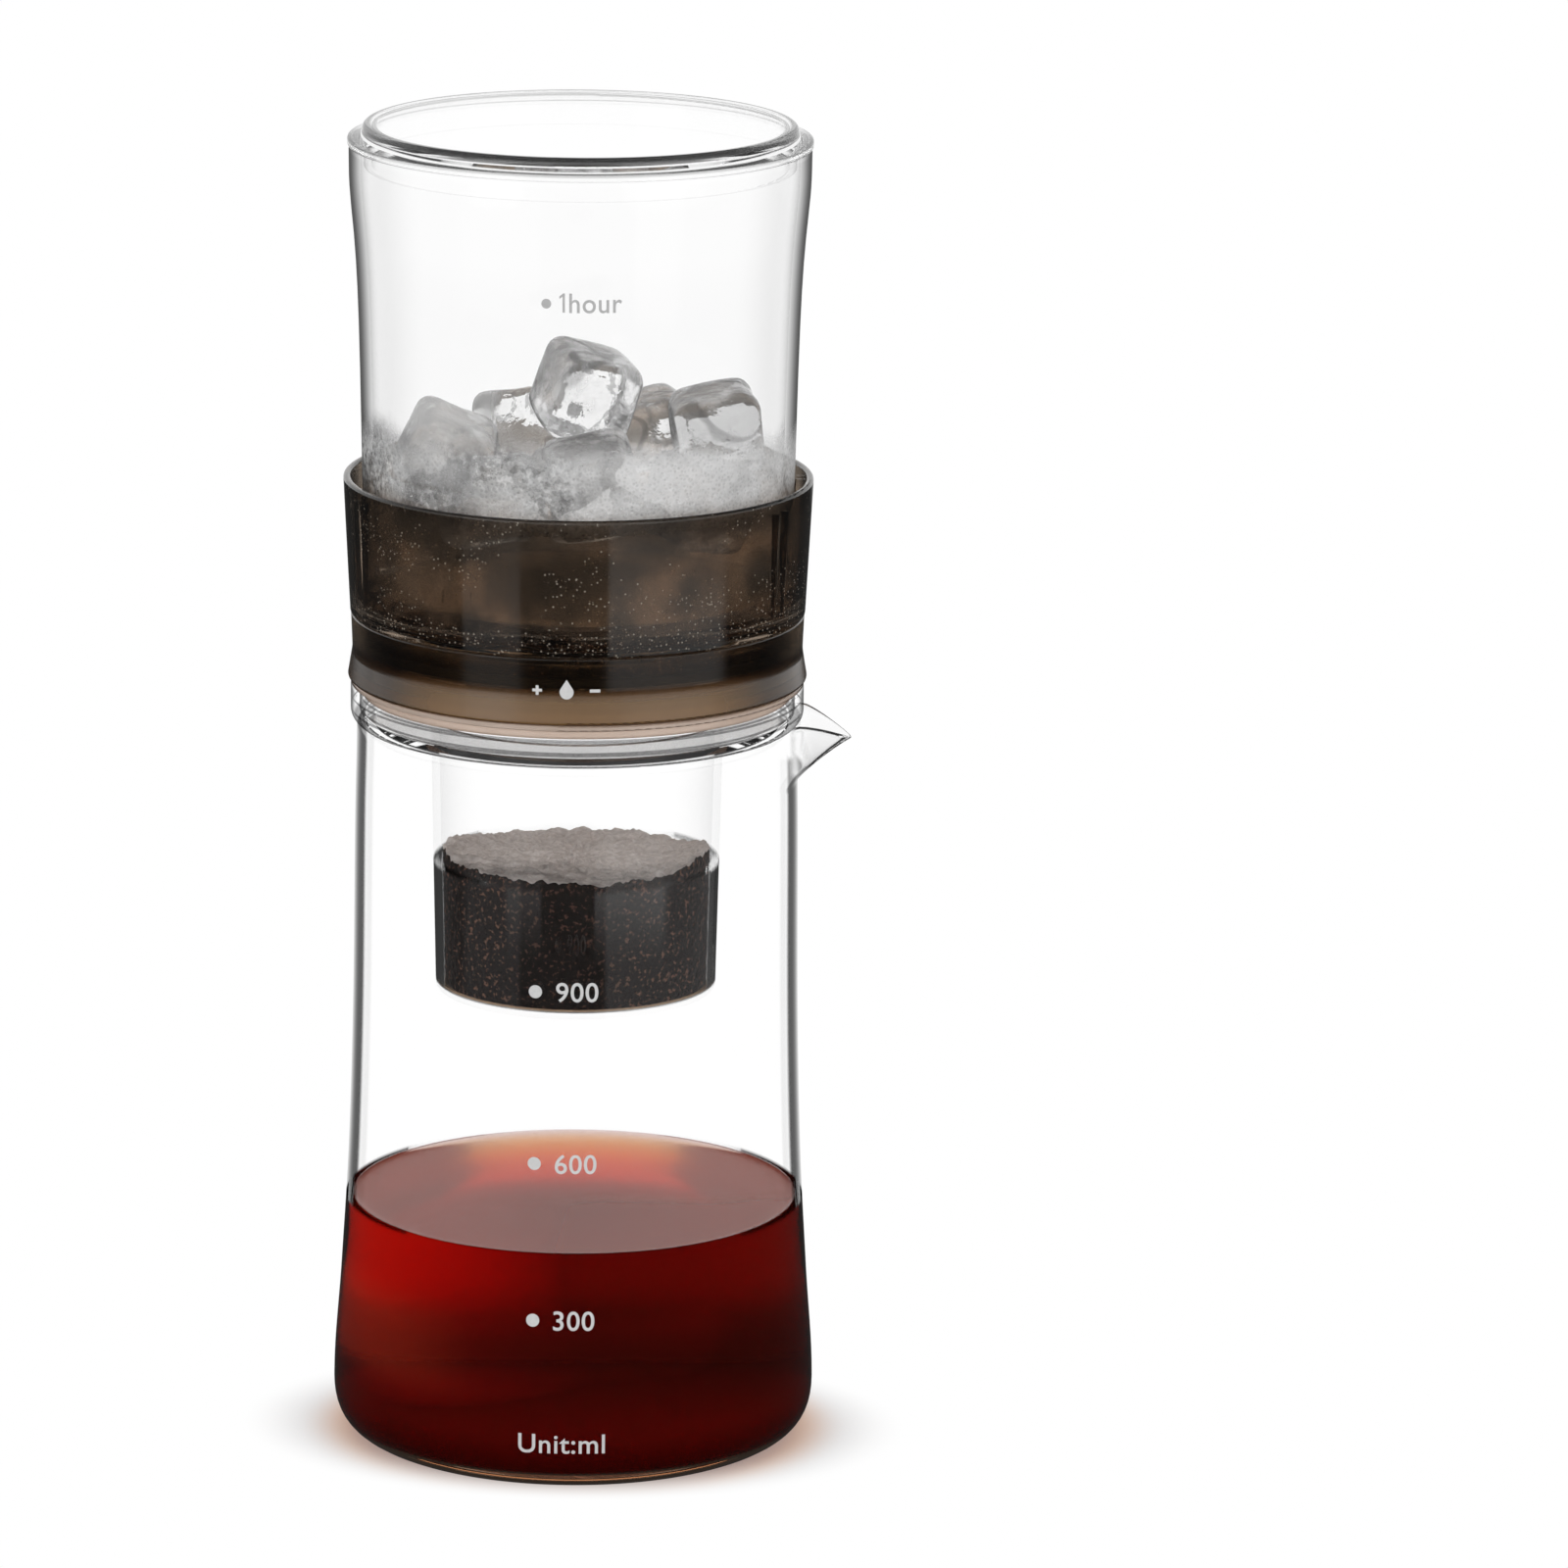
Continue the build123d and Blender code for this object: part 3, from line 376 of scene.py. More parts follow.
def thin_wall(graph, edge, start, stop, fade=0.0, clear=1.0 + MIRROR_SHARE, rings=None):
    """A wall that lets light straight on, with a faint mirror and a line where the eye grazes it.

    The line grows from start to stop, and fade takes part of it away again towards the outline.
    Rings are further painted dark lines, for edges that are moulded into the wall.
    """
    facing = graph.facing()
    line = graph.rise(facing, start, stop) * (1 - fade * graph.rise(facing, stop + 0.03, 0.96))
    if rings is not None:
        line = graph.most(line, rings)
    wall = graph.mix_shader(graph.open_way(grey(clear)), graph.open_way(grey(edge)), line)
    mirror = graph.principled(grey(1.0), 0.0, {"Metallic": 1.0})
    return graph.mix_shader(wall, mirror, MIRROR_SHARE)


def lamps_pass(graph, shader, tint):
    """Shows the shader to the eye and a Transparent one to lamps."""
    ray = graph.node("ShaderNodeLightPath")
    return graph.mix_shader(shader, graph.open_way(tint), ray.output("Is Shadow Ray"))


print("two ways to shade a clear wall")

# %% [markdown]
# ## Glass of the carafe
# The carafe bends light where it holds coffee and at its spout, and is a thin wall between them. Its thick
# foot is tinted amber, a painted glow for the coffee's light seen in it. The outer and the inner face get a
# material each, because a dark line on both would make one wall look like two.

# %% Melt the glass
COFFEE_LEVEL = 55.0


def carafe_finish(name, edge):
    material, graph = new_finish(name)
    x, _, z = graph.axes(graph.place())
    # painted glow: the glass foot is tinted amber and its edge line brown, for the coffee's light in it
    foot = 1 - graph.rise(z, 0.006, 0.015)
    tint = graph.blend(grey(1.0), rgb(0.50, 0.22, 0.10), foot)
    edge_tint = graph.blend(grey(0.24), rgb(0.42, 0.17, 0.07), foot)
    bending = clear_parts(graph, tint, edge_tint, 0.76, 1.30)
    spout = graph.rise(x, 0.0485, 0.0505) * graph.rise(z, 0.156, 0.158)
    empty = graph.rise(z, COFFEE_LEVEL * MM, (COFFEE_LEVEL + 1.2) * MM) * (1 - spout)
    shader = graph.mix_shader(bending, thin_wall(graph, edge, 0.69, 0.74, 0.75), empty)
    graph.surface(lamps_pass(graph, shader, grey(1.0)))
    return material


outer_glass = carafe_finish("borosilicate_glass", 0.34)
inner_glass = carafe_finish("borosilicate_inside", 0.94)
print("glass ready")

# %% [markdown]
# ## Clear plastic of the basket and the lid
# The basket is a cup on the carafe's rim with a narrow tube inside, and the lid is a raised disc on a
# flange. Moulded edges and ribs catch a dark line. Bent light draws such lines in the lid's thick edges,
# and a painted dark tint on those edges strengthens them. The cup's wall is thin and doesn't bend light,
# so the dark lines of its ribs and its foot are painted as rings.

# %% Mould the clear plastic
CUP_RIBS = (172.6, 169.7)
RIB_HALF = 0.24


def painted_line_at(graph, z, height):
    """A soft painted dark line at this height."""
    offset = z * (1 / MM) - height
    return 1 - graph.rise(offset * offset, (0.6 * RIB_HALF) ** 2, (1.5 * RIB_HALF) ** 2)


def basket_look(name):
    """A thin tube that bends light only where it holds coffee, and a thin cup with painted rib lines."""
    material, graph = new_finish(name)
    x, y, z = graph.axes(graph.place())
    radius = graph.from_axis(x, y)
    bending = clear_parts(graph, grey(1.0), grey(0.40), 0.82, 1.42)
    tube = 1 - graph.rise(radius, 0.0336, 0.0342)
    spigot = 1 - graph.rise(z, 0.1657, 0.1661)
    holds_coffee = tube * graph.rise(z, 0.1055, 0.1065) * (1 - graph.rise(z, 0.1330, 0.1348))
    thin = graph.most(tube, spigot) * (1 - holds_coffee)
    shader = graph.mix_shader(bending, thin_wall(graph, 0.965, 0.25, 0.90), thin)
    # painted dark lines at the cup's rounded foot and at its two ribs
    foot = 1 - graph.rise(z, 0.1670, 0.1678)
    painted_upper_rib, painted_lower_rib = [painted_line_at(graph, z, height) for height in CUP_RIBS]
    rings = graph.most(foot, graph.most(painted_upper_rib, painted_lower_rib))
    cup_wall = thin_wall(graph, 0.40, 0.74, 0.92, rings=rings)
    cup_side = graph.rise(radius, 0.0476, 0.0480) * graph.rise(z, 0.1658, 0.1662)
    graph.surface(lamps_pass(graph, graph.mix_shader(shader, cup_wall, cup_side), grey(1.0)))
    return material


def lid_look(name):
    """A disc and a flange that bend light, with painted dark edges, above a thin spigot."""
    material, graph = new_finish(name)
    x, y, z = graph.axes(graph.place())
    radius = graph.from_axis(x, y)
    # painted dark tint on the edges of the disc and the flange
    painted_disc_edge = graph.rise(radius, 0.0462, 0.0470) * graph.rise(z, 0.3003, 0.3009)
    painted_flange_edge = graph.rise(radius, 0.0504, 0.0512) * graph.rise(z, 0.2980, 0.2986)
    tint = graph.blend(graph.blend(grey(1.0), grey(0.08), painted_disc_edge), grey(0.40), painted_flange_edge)
    bending = clear_parts(graph, tint, grey(0.08), 0.64, 1.38)
    spigot = 1 - graph.rise(z, 0.2966, 0.2972)
    shader = graph.mix_shader(bending, thin_wall(graph, 0.85, 0.74, 0.90), spigot)
    graph.surface(lamps_pass(graph, shader, grey(1.0)))
    return material


# %% Dress the basket and the lid
def dress(name, material):
    """Gives a CAD node its material."""
    node = nodes[name]
    node.data.materials.clear()
    node.data.materials.append(material)


dress("filter_basket", basket_look("clear_plastic"))
dress("lid", lid_look("lid_plastic"))
print("basket and lid dressed")

# %% [markdown]
# ## Small parts inside the drip unit
# The valve, its seals and the screws are real CAD solids, and their shapes are right, so they only get
# better materials. Brushed steel is a metal whose roughness follows fine rings, as a lathe leaves them.
# Silicone, acetal and wet filter paper have a faint mottle and a slight relief.


# %% Steel, silicone, acetal and paper
def steel_finish(name, ring_pitch):
    material, graph = new_finish(name)
    x, y, z = graph.axes(graph.place())
    rings = graph.node("ShaderNodeCombineXYZ", {}, {"X": graph.from_axis(x, y), "Z": z})
    brushed = graph.grain(rings, ring_pitch, 3.0)
    colour = graph.blend(grey(0.50), grey(0.70), brushed)
    graph.surface(graph.principled(colour, 0.22 + 0.22 * brushed, {"Metallic": 1.0}))
    return material


def moulded_finish(name, dark, pale, roughness, size):
    material, graph = new_finish(name)
    mottle = graph.grain(graph.place(), size, 3.0)
    colour = graph.blend(dark, pale, mottle)
    relief = {"Normal": graph.bump(mottle, 0.15, 0.05)}
    graph.surface(graph.principled(colour, roughness + 0.12 * mottle, relief))
    return material


GREY_PARTS = (  # node, finish, dark and pale grey, roughness, size of the mottle
    ("valve_body", "white_acetal", 0.70, 0.80, 0.40, 3.0),
    ("valve_nut", "black_plastic", 0.02, 0.04, 0.40, 2.0),
    ("valve_washer", "grey_silicone", 0.42, 0.52, 0.55, 2.0),
    ("valve_seat", "seat_silicone", 0.40, 0.50, 0.55, 1.0),
    ("tank_gasket", "gasket_silicone", 0.42, 0.52, 0.55, 3.0),
    ("spindle_o_ring", "black_rubber", 0.012, 0.03, 0.5, 0.6),
    ("friction_ring", "black_silicone", 0.010, 0.022, 0.45, 1.5),
)
for node, finish, dark, pale, roughness, size in GREY_PARTS:
    dress(node, moulded_finish(finish, grey(dark), grey(pale), roughness, size))
dress("paper_filter", moulded_finish("wet_paper", rgb(0.20, 0.12, 0.07), rgb(0.36, 0.25, 0.16), 0.75, 1.2))
steel = steel_finish("brushed_steel", 0.5)
for node in ("screen_mesh", "outlet_strainer", "base_screws", "valve_spindle"):
    dress(node, steel)
print("small parts dressed:", len(GREY_PARTS) + 5)

# %% [markdown]
# ## Turned shapes
# Most of the maker is round, so one lathe serves for every vessel. It takes the closed outline of a wall,
# in radius and height, and turns it about the axis. A Screw modifier could do that too, but this lathe can
# set its turns closer together near the spout. The outlines follow a smooth curve through a few stations,
# as a glass blower's gauge would give them.

# %% A curve through stations
CARAFE_TOP = 166.3
CARAFE_NECK_R = 49.6
CARAFE_FOOT_R = 54.8
CORNER_TOP = 12.0  # where the foot's rounded corner meets the wall


def through(stations):
    """A smooth function of height through (height, radius) stations, upright at both ends."""
    heights = [h for h, r in stations]
    radii = [r for h, r in stations]
    slopes = [0.0]
    for i in range(1, len(stations) - 1):
        slopes.append((radii[i + 1] - radii[i - 1]) / (heights[i + 1] - heights[i - 1]))
    slopes.append(0.0)

    def radius(height):
        height = min(max(height, heights[0]), heights[-1])
        i = max(k for k in range(len(heights) - 1) if heights[k] <= height)
        span = heights[i + 1] - heights[i]
        t = (height - heights[i]) / span
        return (
            (2 * t**3 - 3 * t**2 + 1) * radii[i]
            + (t**3 - 2 * t**2 + t) * span * slopes[i]
            + (3 * t**2 - 2 * t**3) * radii[i + 1]
            + (t**3 - t**2) * span * slopes[i + 1]
        )

    return radius


carafe_outer = through([
    (CORNER_TOP, CARAFE_FOOT_R), (38.2, 53.15), (66.0, 51.5), (100.0, 50.5), (144.7, 50.0),
    (CARAFE_TOP, CARAFE_NECK_R),
])
print("carafe radius at 100:", round(carafe_outer(100.0), 2))


# %% A lathe
def spread(low, high, step):
    """Evenly spaced numbers from low to high, both included."""
    count = max(1, round(abs(high - low) / step))
    return [low + (high - low) * i / count for i in range(count + 1)]


def full_turn(count):
    return [2 * math.pi * i / count for i in range(count)]


def lathe(name, outline, body, turns):
    """Turns an outline of (radius, height) points about Z into a smooth closed mesh."""
    mesh = bpy.data.meshes.new(name)
    verts = [(r * math.cos(a) * MM, r * math.sin(a) * MM, h * MM) for a in turns for r, h in outline]
    rows = len(outline)
    faces = []
    for i in range(len(turns)):
        here, there = i * rows, (i + 1) % len(turns) * rows
        for k in range(rows):
            after = (k + 1) % rows
            faces.append((here + k, there + k, there + after, here + after))
    mesh.from_pydata(verts, [], faces)
    shape = bmesh.new()
    shape.from_mesh(mesh)
    bmesh.ops.remove_doubles(shape, verts=shape.verts, dist=1e-7)
    bmesh.ops.recalc_face_normals(shape, faces=shape.faces)
    shape.to_mesh(mesh)
    shape.free()
    mesh.shade_smooth()
    mesh.set_sharp_from_angle(angle=math.radians(40))
    piece = add_object(name, mesh)
    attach(piece, body)
    return piece


print("lathe ready")

# %% [markdown]
# ## Carafe
# A carafe's spout is pulled out of the hot rim with a tool, so it flows out of the wall. As a piece of its
# own it would show a join in the clear glass, so it is pulled here as well: the lathe makes the round jug
# with its melted lip, and then each point near the spout is pushed outwards, towards a V as seen from
# above. The push grows from nothing at the root to full at the rim, and the edges arch.

# %% Turn the jug
CARAFE_WALL = 1.8
CARAFE_FLOOR = 4.0
LIP_R = 0.9


def foot_corner(inset, floor, steps=14):
    """The rounded corner between floor and wall, as points of a Bezier curve."""
    foot = CARAFE_FOOT_R - inset
    corner = CORNER_TOP - floor
    ends = [(foot - corner, floor), (foot - 0.35 * corner, floor), (foot, CORNER_TOP - 0.7 * corner)]
    ends = [Vector(end) for end in ends + [(foot, CORNER_TOP)]]
    points = []
    for i in range(steps + 1):
        t = i / steps
        weights = ((1 - t) ** 3, 3 * t * (1 - t) ** 2, 3 * t * t * (1 - t), t**3)
        point = sum((w * e for w, e in zip(weights, ends)), Vector((0.0, 0.0)))
        points.append((point.x, point.y))
    return points


def carafe_outline():
    heights = spread(13.0, 150.0, 3.0) + spread(150.7, CARAFE_TOP - LIP_R, 0.7)
    outside = foot_corner(0.0, 0.0) + [(carafe_outer(h), h) for h in heights]
    lip_x, lip_z = CARAFE_NECK_R - LIP_R, CARAFE_TOP - LIP_R
    turns = [math.pi * i / 8 for i in range(1, 8)]
    lip = [(lip_x + LIP_R * math.cos(a), lip_z + LIP_R * math.sin(a)) for a in turns]
    inside = [(carafe_outer(h) - CARAFE_WALL, h) for h in reversed(heights)]
    inside += list(reversed(foot_corner(CARAFE_WALL, CARAFE_FLOOR)))
    return [(0.0, 0.0)] + outside + lip + inside + [(0.0, CARAFE_FLOOR)]


fine = [math.radians(0.75 * i) for i in range(-36, 37)]
coarse = [math.radians(27 + 2.0 * i) for i in range(1, 153)]
jug = lathe("blown_carafe", carafe_outline(), "carafe", fine + coarse)
print("carafe points:", len(jug.data.vertices))

# %% Give both faces of the wall their glass
jug.data.materials.append(outer_glass)
jug.data.materials.append(inner_glass)
for face in jug.data.polygons:
    outwards = Vector((face.center.x, face.center.y, 0.0)).normalized()
    faces_axis = face.normal.dot(outwards) < -0.1
    faces_up = face.normal.z > 0.5 and face.center.z < 20.0 * MM
    face.material_index = 1 if faces_axis or faces_up else 0
print("inner faces:", sum(face.material_index for face in jug.data.polygons))

# %% Pull the spout
SPOUT_ROOT = 153.7  # height where the spout leaves the wall
SPOUT_APEX = 64.35  # where the two sides of the V would meet
SPOUT_HALF = math.radians(45)  # half the angle of the V
SPOUT_SOFT = math.radians(1.0)  # rounds the tip
SPOUT_WIDE = math.radians(26)  # no point further round than this moves
SPOUT_PUSH = 12.9  # how far the tip is pushed
CREST_PUSH = 3.4  # the push at which the edge is highest
CREST_RISE = 2.2
TIP_FALL = 4.6
ROOT_SOFT = 0.8  # how softly the V leaves the round rim


def spout_push(angle):
    """How far the rim is pushed outwards at this angle from +X."""
    from_middle = math.hypot(angle, SPOUT_SOFT)
    v_radius = SPOUT_APEX * math.sin(SPOUT_HALF) / math.sin(SPOUT_HALF + from_middle)
    push = max(0.0, v_radius - CARAFE_NECK_R)
    return push * push / (push + ROOT_SOFT)


def spout_rise(push):
    """How far the rim is lifted: up over an arch, then down to the tip."""
    if push < CREST_PUSH:
        return CREST_RISE * math.sin(math.pi / 2 * push / CREST_PUSH)
    return CREST_RISE - TIP_FALL * ((push - CREST_PUSH) / (SPOUT_PUSH - CREST_PUSH)) ** 1.2


def pull_spout(piece):
    for vertex in piece.data.vertices:
        x, y, z = vertex.co / MM
        angle = math.atan2(y, x)
        if z < SPOUT_ROOT or abs(angle) > SPOUT_WIDE:
            continue
        share = (z - SPOUT_ROOT) / (CARAFE_TOP - SPOUT_ROOT)
        push = spout_push(angle)
        out = math.hypot(x, y) + push * share
        lifted = z + spout_rise(push) * share**2
        vertex.co = (out * math.cos(angle) * MM, out * math.sin(angle) * MM, lifted * MM)
    piece.data.update()


pull_spout(jug)
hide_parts("carafe")
print("spout tip at", round(max(v.co.x for v in jug.data.vertices) / MM, 1))

# %% [markdown]
# ## Brewed coffee
# Coffee swallows blue first, then green, and red last, so a thin layer is amber and a deep one nearly black.
# A dark red surface would look the same at every depth. Volume Absorption follows the depth, whatever path
# the light takes. A tint on the surface paints shade: darker towards the right, at the foot and near the
# top. Two thin layers of Diffuse give back light from inside: a red haze, stronger at the left where it is
# painted light, and fine grains that float on top. The top is also a little rough, which hides the floor.

# %% Brew the coffee
coffee_finish, graph = new_finish("brewed_coffee")
x, y, z = graph.axes(graph.place())
# painted shade: darker across the front towards the right, and at the right edge, the foot and the top
side_shade = graph.rise(x, -0.046, 0.012) * (1 - graph.rise(y, -0.012, 0.012))
low_shade = 0.34 * (1 - graph.rise(z, 0.012, 0.036)) + 0.60 * (1 - graph.rise(z, 0.014, 0.025))
right_edge_shade = graph.rise(x, 0.030, 0.050)
high_shade = 0.20 * graph.rise(z, 0.036, 0.046)
shade = graph.math("MINIMUM", 0.84 * side_shade + 0.30 * right_edge_shade + low_shade + high_shade, 0.97)
top_share = graph.rise(graph.upwards(), 0.7, 0.95)
tint = graph.blend(grey(1.0), grey(0.02), shade)
clear_liquid = graph.principled(tint, 0.22 * top_share, {"IOR": 1.28, "Transmission Weight": 1.0})
# painted light: the red haze is stronger at the left, halfway up
leftwards = 1 - graph.rise(x, -0.044, -0.014)
painted_left_light = leftwards * graph.rise(z, 0.018, 0.026) * (1 - graph.rise(z, 0.034, 0.046))
liquid = graph.mix_shader(clear_liquid, graph.diffuse(rgb(0.60, 0.055, 0.020)), 0.015 + 0.11 * painted_left_light)
liquid = graph.mix_shader(liquid, graph.diffuse(rgb(0.90, 0.18, 0.10)), 0.24 * top_share)
depth = graph.node("ShaderNodeVolumeAbsorption", {}, {"Color": rgb(0.945, 0.56, 0.0), "Density": 170.0})
seen_liquid = lamps_pass(graph, liquid, rgb(0.55, 0.20, 0.06))
graph.node("ShaderNodeOutputMaterial", {}, {"Surface": seen_liquid, "Volume": depth})
print("coffee brewed")

# %% [markdown]
# The coffee fills what the carafe leaves free. It climbs the glass a little at its edge, and reaches a hair
# into the wall, so that no air gap shows.

# %% Fill the carafe
INTO_WALL = 0.12
OVER_FLOOR = 0.05
CLIMB = 0.7


def liquid_top(edge, level, climb, inwards):
    """A level surface that climbs at its edge, and has points this far inwards from it."""
    return [(edge - d, level + climb * math.exp(-d / 0.8)) for d in inwards] + [(0.0, level)]


def coffee_outline():
    floor = CARAFE_FLOOR + OVER_FLOOR
    side = foot_corner(CARAFE_WALL - INTO_WALL, floor)
    heights = spread(13.0, COFFEE_LEVEL + CLIMB, 2.0)
    side += [(carafe_outer(h) - CARAFE_WALL + INTO_WALL, h) for h in heights]
    edge = carafe_outer(COFFEE_LEVEL) - CARAFE_WALL
    top = liquid_top(edge, COFFEE_LEVEL, CLIMB, (0.4, 0.9, 1.6, 2.6, 4.0, 7.0, 14.0))
    return [(0.0, floor)] + side + top


coffee = lathe("coffee_in_carafe", coffee_outline(), "carafe", full_turn(180))
coffee.data.materials.append(coffee_finish)
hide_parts("brewed_coffee")
print("coffee height:", round(coffee.dimensions.z / MM, 1))

# %% [markdown]
# ## Fogged tank
# The tank's CAD shape is right, so only its finish is made here. Cold water fogs its outside up to the level
# of the ice: a haze of tiny drops, thinner towards its upper edge, with clear spots where drops have run
# together. Painted light makes the fog pale in facets, where ice would show behind it, and paler to the
# right; painted shade darkens the valleys between facets and the fog low down, and painted glints mark
# where drops run. Real drops would be a million small lenses, so the fog is a rough shader that covers a
# share of the clear wall.

# %% Where drops sit
FOG_EDGE = 239.0  # height of the fog's upper edge at the front
FOG_SIDE_DROP = 3.0
FOG_BACK_DROP = 18.0


def fog_share(graph, place, fine_drops, drift):
    """How much of the wall is hidden by drops."""
    _, y, z = graph.axes(place)
    wavy = graph.grain(place, 14.0, 3.0, 0.6)
    drop = FOG_SIDE_DROP * graph.rise(y, -0.050, 0.0) + FOG_BACK_DROP * graph.rise(y, 0.004, 0.035)
    height = z + drop * MM + 0.010 * (wavy - 0.5)
    wet = 1 - graph.rise(height, (FOG_EDGE - 7.0) * MM, (FOG_EDGE + 2.0) * MM)
    clear_spot = (1 - graph.rise(graph.cells(place, 420.0), 0.16, 0.32)) * drift
    sheltered = 1 - graph.rise(z, 0.2165, 0.2210)  # behind the collar
    dewy = (0.34 + 0.22 * graph.rise(fine_drops, 0.15, 0.6)) * (1 - 0.6 * clear_spot)
    return wet * dewy * (1 - 0.8 * sheltered)


def fog_paleness(graph, place, drift):
    """Painted light on the fog: pale ice facets, paler to the right, shade in valleys and low, glints."""
    ripple = graph.node("ShaderNodeTexNoise", {}, {"Vector": place, "Scale": 90.0}).output("Color")
    shifted = graph.node("ShaderNodeVectorMath", {"operation": "MULTIPLY_ADD"}, {
        0: ripple, 1: (0.010, 0.010, 0.010), 2: place,
    })
    facets = graph.node("ShaderNodeTexVoronoi", {"feature": "SMOOTH_F1"}, {
        "Vector": shifted, "Scale": 66.0, "Smoothness": 0.04,
    })
    # painted light in pale facets, where ice would show behind, and painted shade in the valleys between
    face = graph.axes(facets.output("Color"))[0]
    painted_valley_shade = graph.rise(facets, 0.35, 0.75)
    frost = graph.rise(graph.grain(place, 3.5, 6.0, 0.75), 0.40, 0.62)
    x, _, z = graph.axes(place)
    # painted light: paler towards the right; painted shade: darker low down by the collar
    painted_right_side = graph.rise(x, -0.050, 0.020)
    low = 1 - graph.rise(z, 0.222, 0.234)
    # painted glints where drops run
    runs = graph.grain(place, 1.5, 2.0)
    painted_glint = (graph.rise(runs, 0.56, 0.62) - graph.rise(1 - runs, 0.56, 0.62)) * drift
    pale = 0.04 + 0.70 * face + 0.20 * frost + 0.52 * painted_right_side
    return pale - 0.30 * painted_valley_shade - 0.10 * low + 0.45 * painted_glint


print("fog mapped")


# %% Fog the tank
def fogged_finish(name):
    material, graph = new_finish(name)
    place = graph.place()
    x, y, z = graph.axes(place)
    wall_middle = 0.0469 + 0.0033 * graph.rise(z, 0.225, 0.300)
    outside = graph.rise(graph.from_axis(x, y) - wall_middle, -0.0001, 0.0001)
    inner_wall = thin_wall(graph, 0.937, 0.32, 0.62, clear=1.0)
    outer_wall = thin_wall(graph, 0.30, 0.58, 0.90, clear=1.0)
    clear = graph.mix_shader(inner_wall, outer_wall, outside)
    drift = graph.rise(graph.grain(place, 20.0, 2.0), 0.48, 0.60) * (1 - graph.rise(x, -0.006, 0.012))
    fine_drops = graph.cells(place, 1100.0)
    colour = graph.blend(grey(0.16), grey(1.0), fog_paleness(graph, place, drift))
    fog = graph.principled(colour, 0.5, {"Normal": graph.bump(fine_drops, 0.6, 0.3)})
    haze = fog_share(graph, place, fine_drops, drift)
    graph.surface(lamps_pass(graph, graph.mix_shader(clear, fog, haze), grey(0.93)))
    return material


dress("tank", fogged_finish("fogged_tank"))
print("tank fogged")

# %% [markdown]
# ## Smoke-brown collar and dial
# The drip unit is clear plastic with a brown dye. Absorption would be the exact way to make it, but a tint
# on each face does nearly the same without a volume: where two walls overlap their tints multiply, and the
# collar turns almost black. Soft paler brown patches are painted light, where ice would show behind it,
# with painted shade under the rim and at a gap between two cubes. The dial and the plate are lighter, and
# partly satin. Drops of water cling to the collar, painted as pale spots for their glints.


# %% Water on the collar
def beads_of_water(graph, place, shader, amount):
    """Sprinkles drops, painted as pale spots for their glints, gathered in drifts."""
    cells = graph.cells(place, 1150.0)
    chance = graph.axes(cells.output("Color"))[0]
    drift = graph.rise(graph.grain(place, 24.0, 4.0, 0.6), 0.46, 0.66)
    x, _, z = graph.axes(place)
    low = graph.between(z, 0.190, 0.192, 0.196, 0.198)
    lower_right = graph.rise(x, -0.012, 0.008) * (1 - graph.rise(z, 0.203, 0.210))
    crowd = graph.most(0.75 * drift, graph.most(0.62 * low, 0.40 * lower_right))
    # painted glints: pale spots where drops sit
    bead_glint = (1 - graph.rise(cells, 0.10, 0.34)) * graph.rise(chance + crowd, 0.98, 1.06)
    painted_bead_glint = graph.principled(rgb(0.46, 0.41, 0.34), 0.25)
    return graph.mix_shader(shader, painted_bead_glint, bead_glint * amount)


print("beads ready")


# %% Dye the drip unit
def painted_ice_light(graph, place, flow):
    """Painted light for ice behind, with painted shade under the rim and at a gap between two cubes."""
    x, _, z = graph.axes(place)
    # painted shade just under the rim, and at a gap between two cubes
    under_rim = 1 - 0.85 * graph.rise(z, 0.2150, 0.2200)
    from_gap = graph.from_axis(x + 0.002, (z - 0.2115) * 1.7)
    cube_gap_shade = 1 - graph.rise(from_gap + 0.012 * (flow - 0.5), 0.006, 0.020)
    return graph.rise(flow, 0.38, 0.62) * under_rim * (1 - 0.95 * cube_gap_shade)


def smoke_finish(name, dark, pale, edge, roughness, turn=(0.60, 0.90), beaded=0.0, satin=None, satin_top=0.0):
    """Dyed plastic, darker from turn[0] to turn[1] of Facing, with drops, or satin up to a height."""
    material, graph = new_finish(name)
    place = graph.place()
    flow = graph.grain(place, 16.0, 3.0, 0.6)
    # painted light: paler brown patches where ice would show through
    tint = graph.blend(dark, pale, painted_ice_light(graph, place, flow))
    shader = clear_parts(graph, tint, edge, turn[0], 1.49, roughness, graph.bump(flow, 0.05, 0.3), turn[1])
    if beaded:
        shader = beads_of_water(graph, place, shader, beaded)
    if satin:
        low = 1 - graph.rise(graph.axes(place)[2], (satin_top - 3.6) * MM, (satin_top + 0.8) * MM)
        share = low * (0.45 + 0.2 * flow) * (1 - 0.85 * graph.rise(graph.facing(), *turn))
        shader = graph.mix_shader(shader, graph.principled(satin, 0.35), share)
    graph.surface(lamps_pass(graph, shader, pale))
    return material


dress("collar", smoke_finish(
    "smoke_collar", rgb(0.16, 0.135, 0.11), rgb(0.385, 0.29, 0.215), grey(0.02), 0.03, beaded=0.6,
))
dress("dial", smoke_finish(
    "smoke_dial", rgb(0.42, 0.30, 0.18), rgb(0.50, 0.37, 0.23), rgb(0.05, 0.035, 0.025), 0.14,
    turn=(0.14, 0.46), satin=rgb(0.30, 0.170, 0.070), satin_top=184.2,
))
dress("base_plate", smoke_finish(
    "smoke_plate", rgb(0.70, 0.60, 0.52), rgb(0.78, 0.68, 0.60), rgb(0.35, 0.28, 0.24), 0.12,
    satin=rgb(0.92, 0.74, 0.62), satin_top=180.0,
))
print("drip unit dyed")

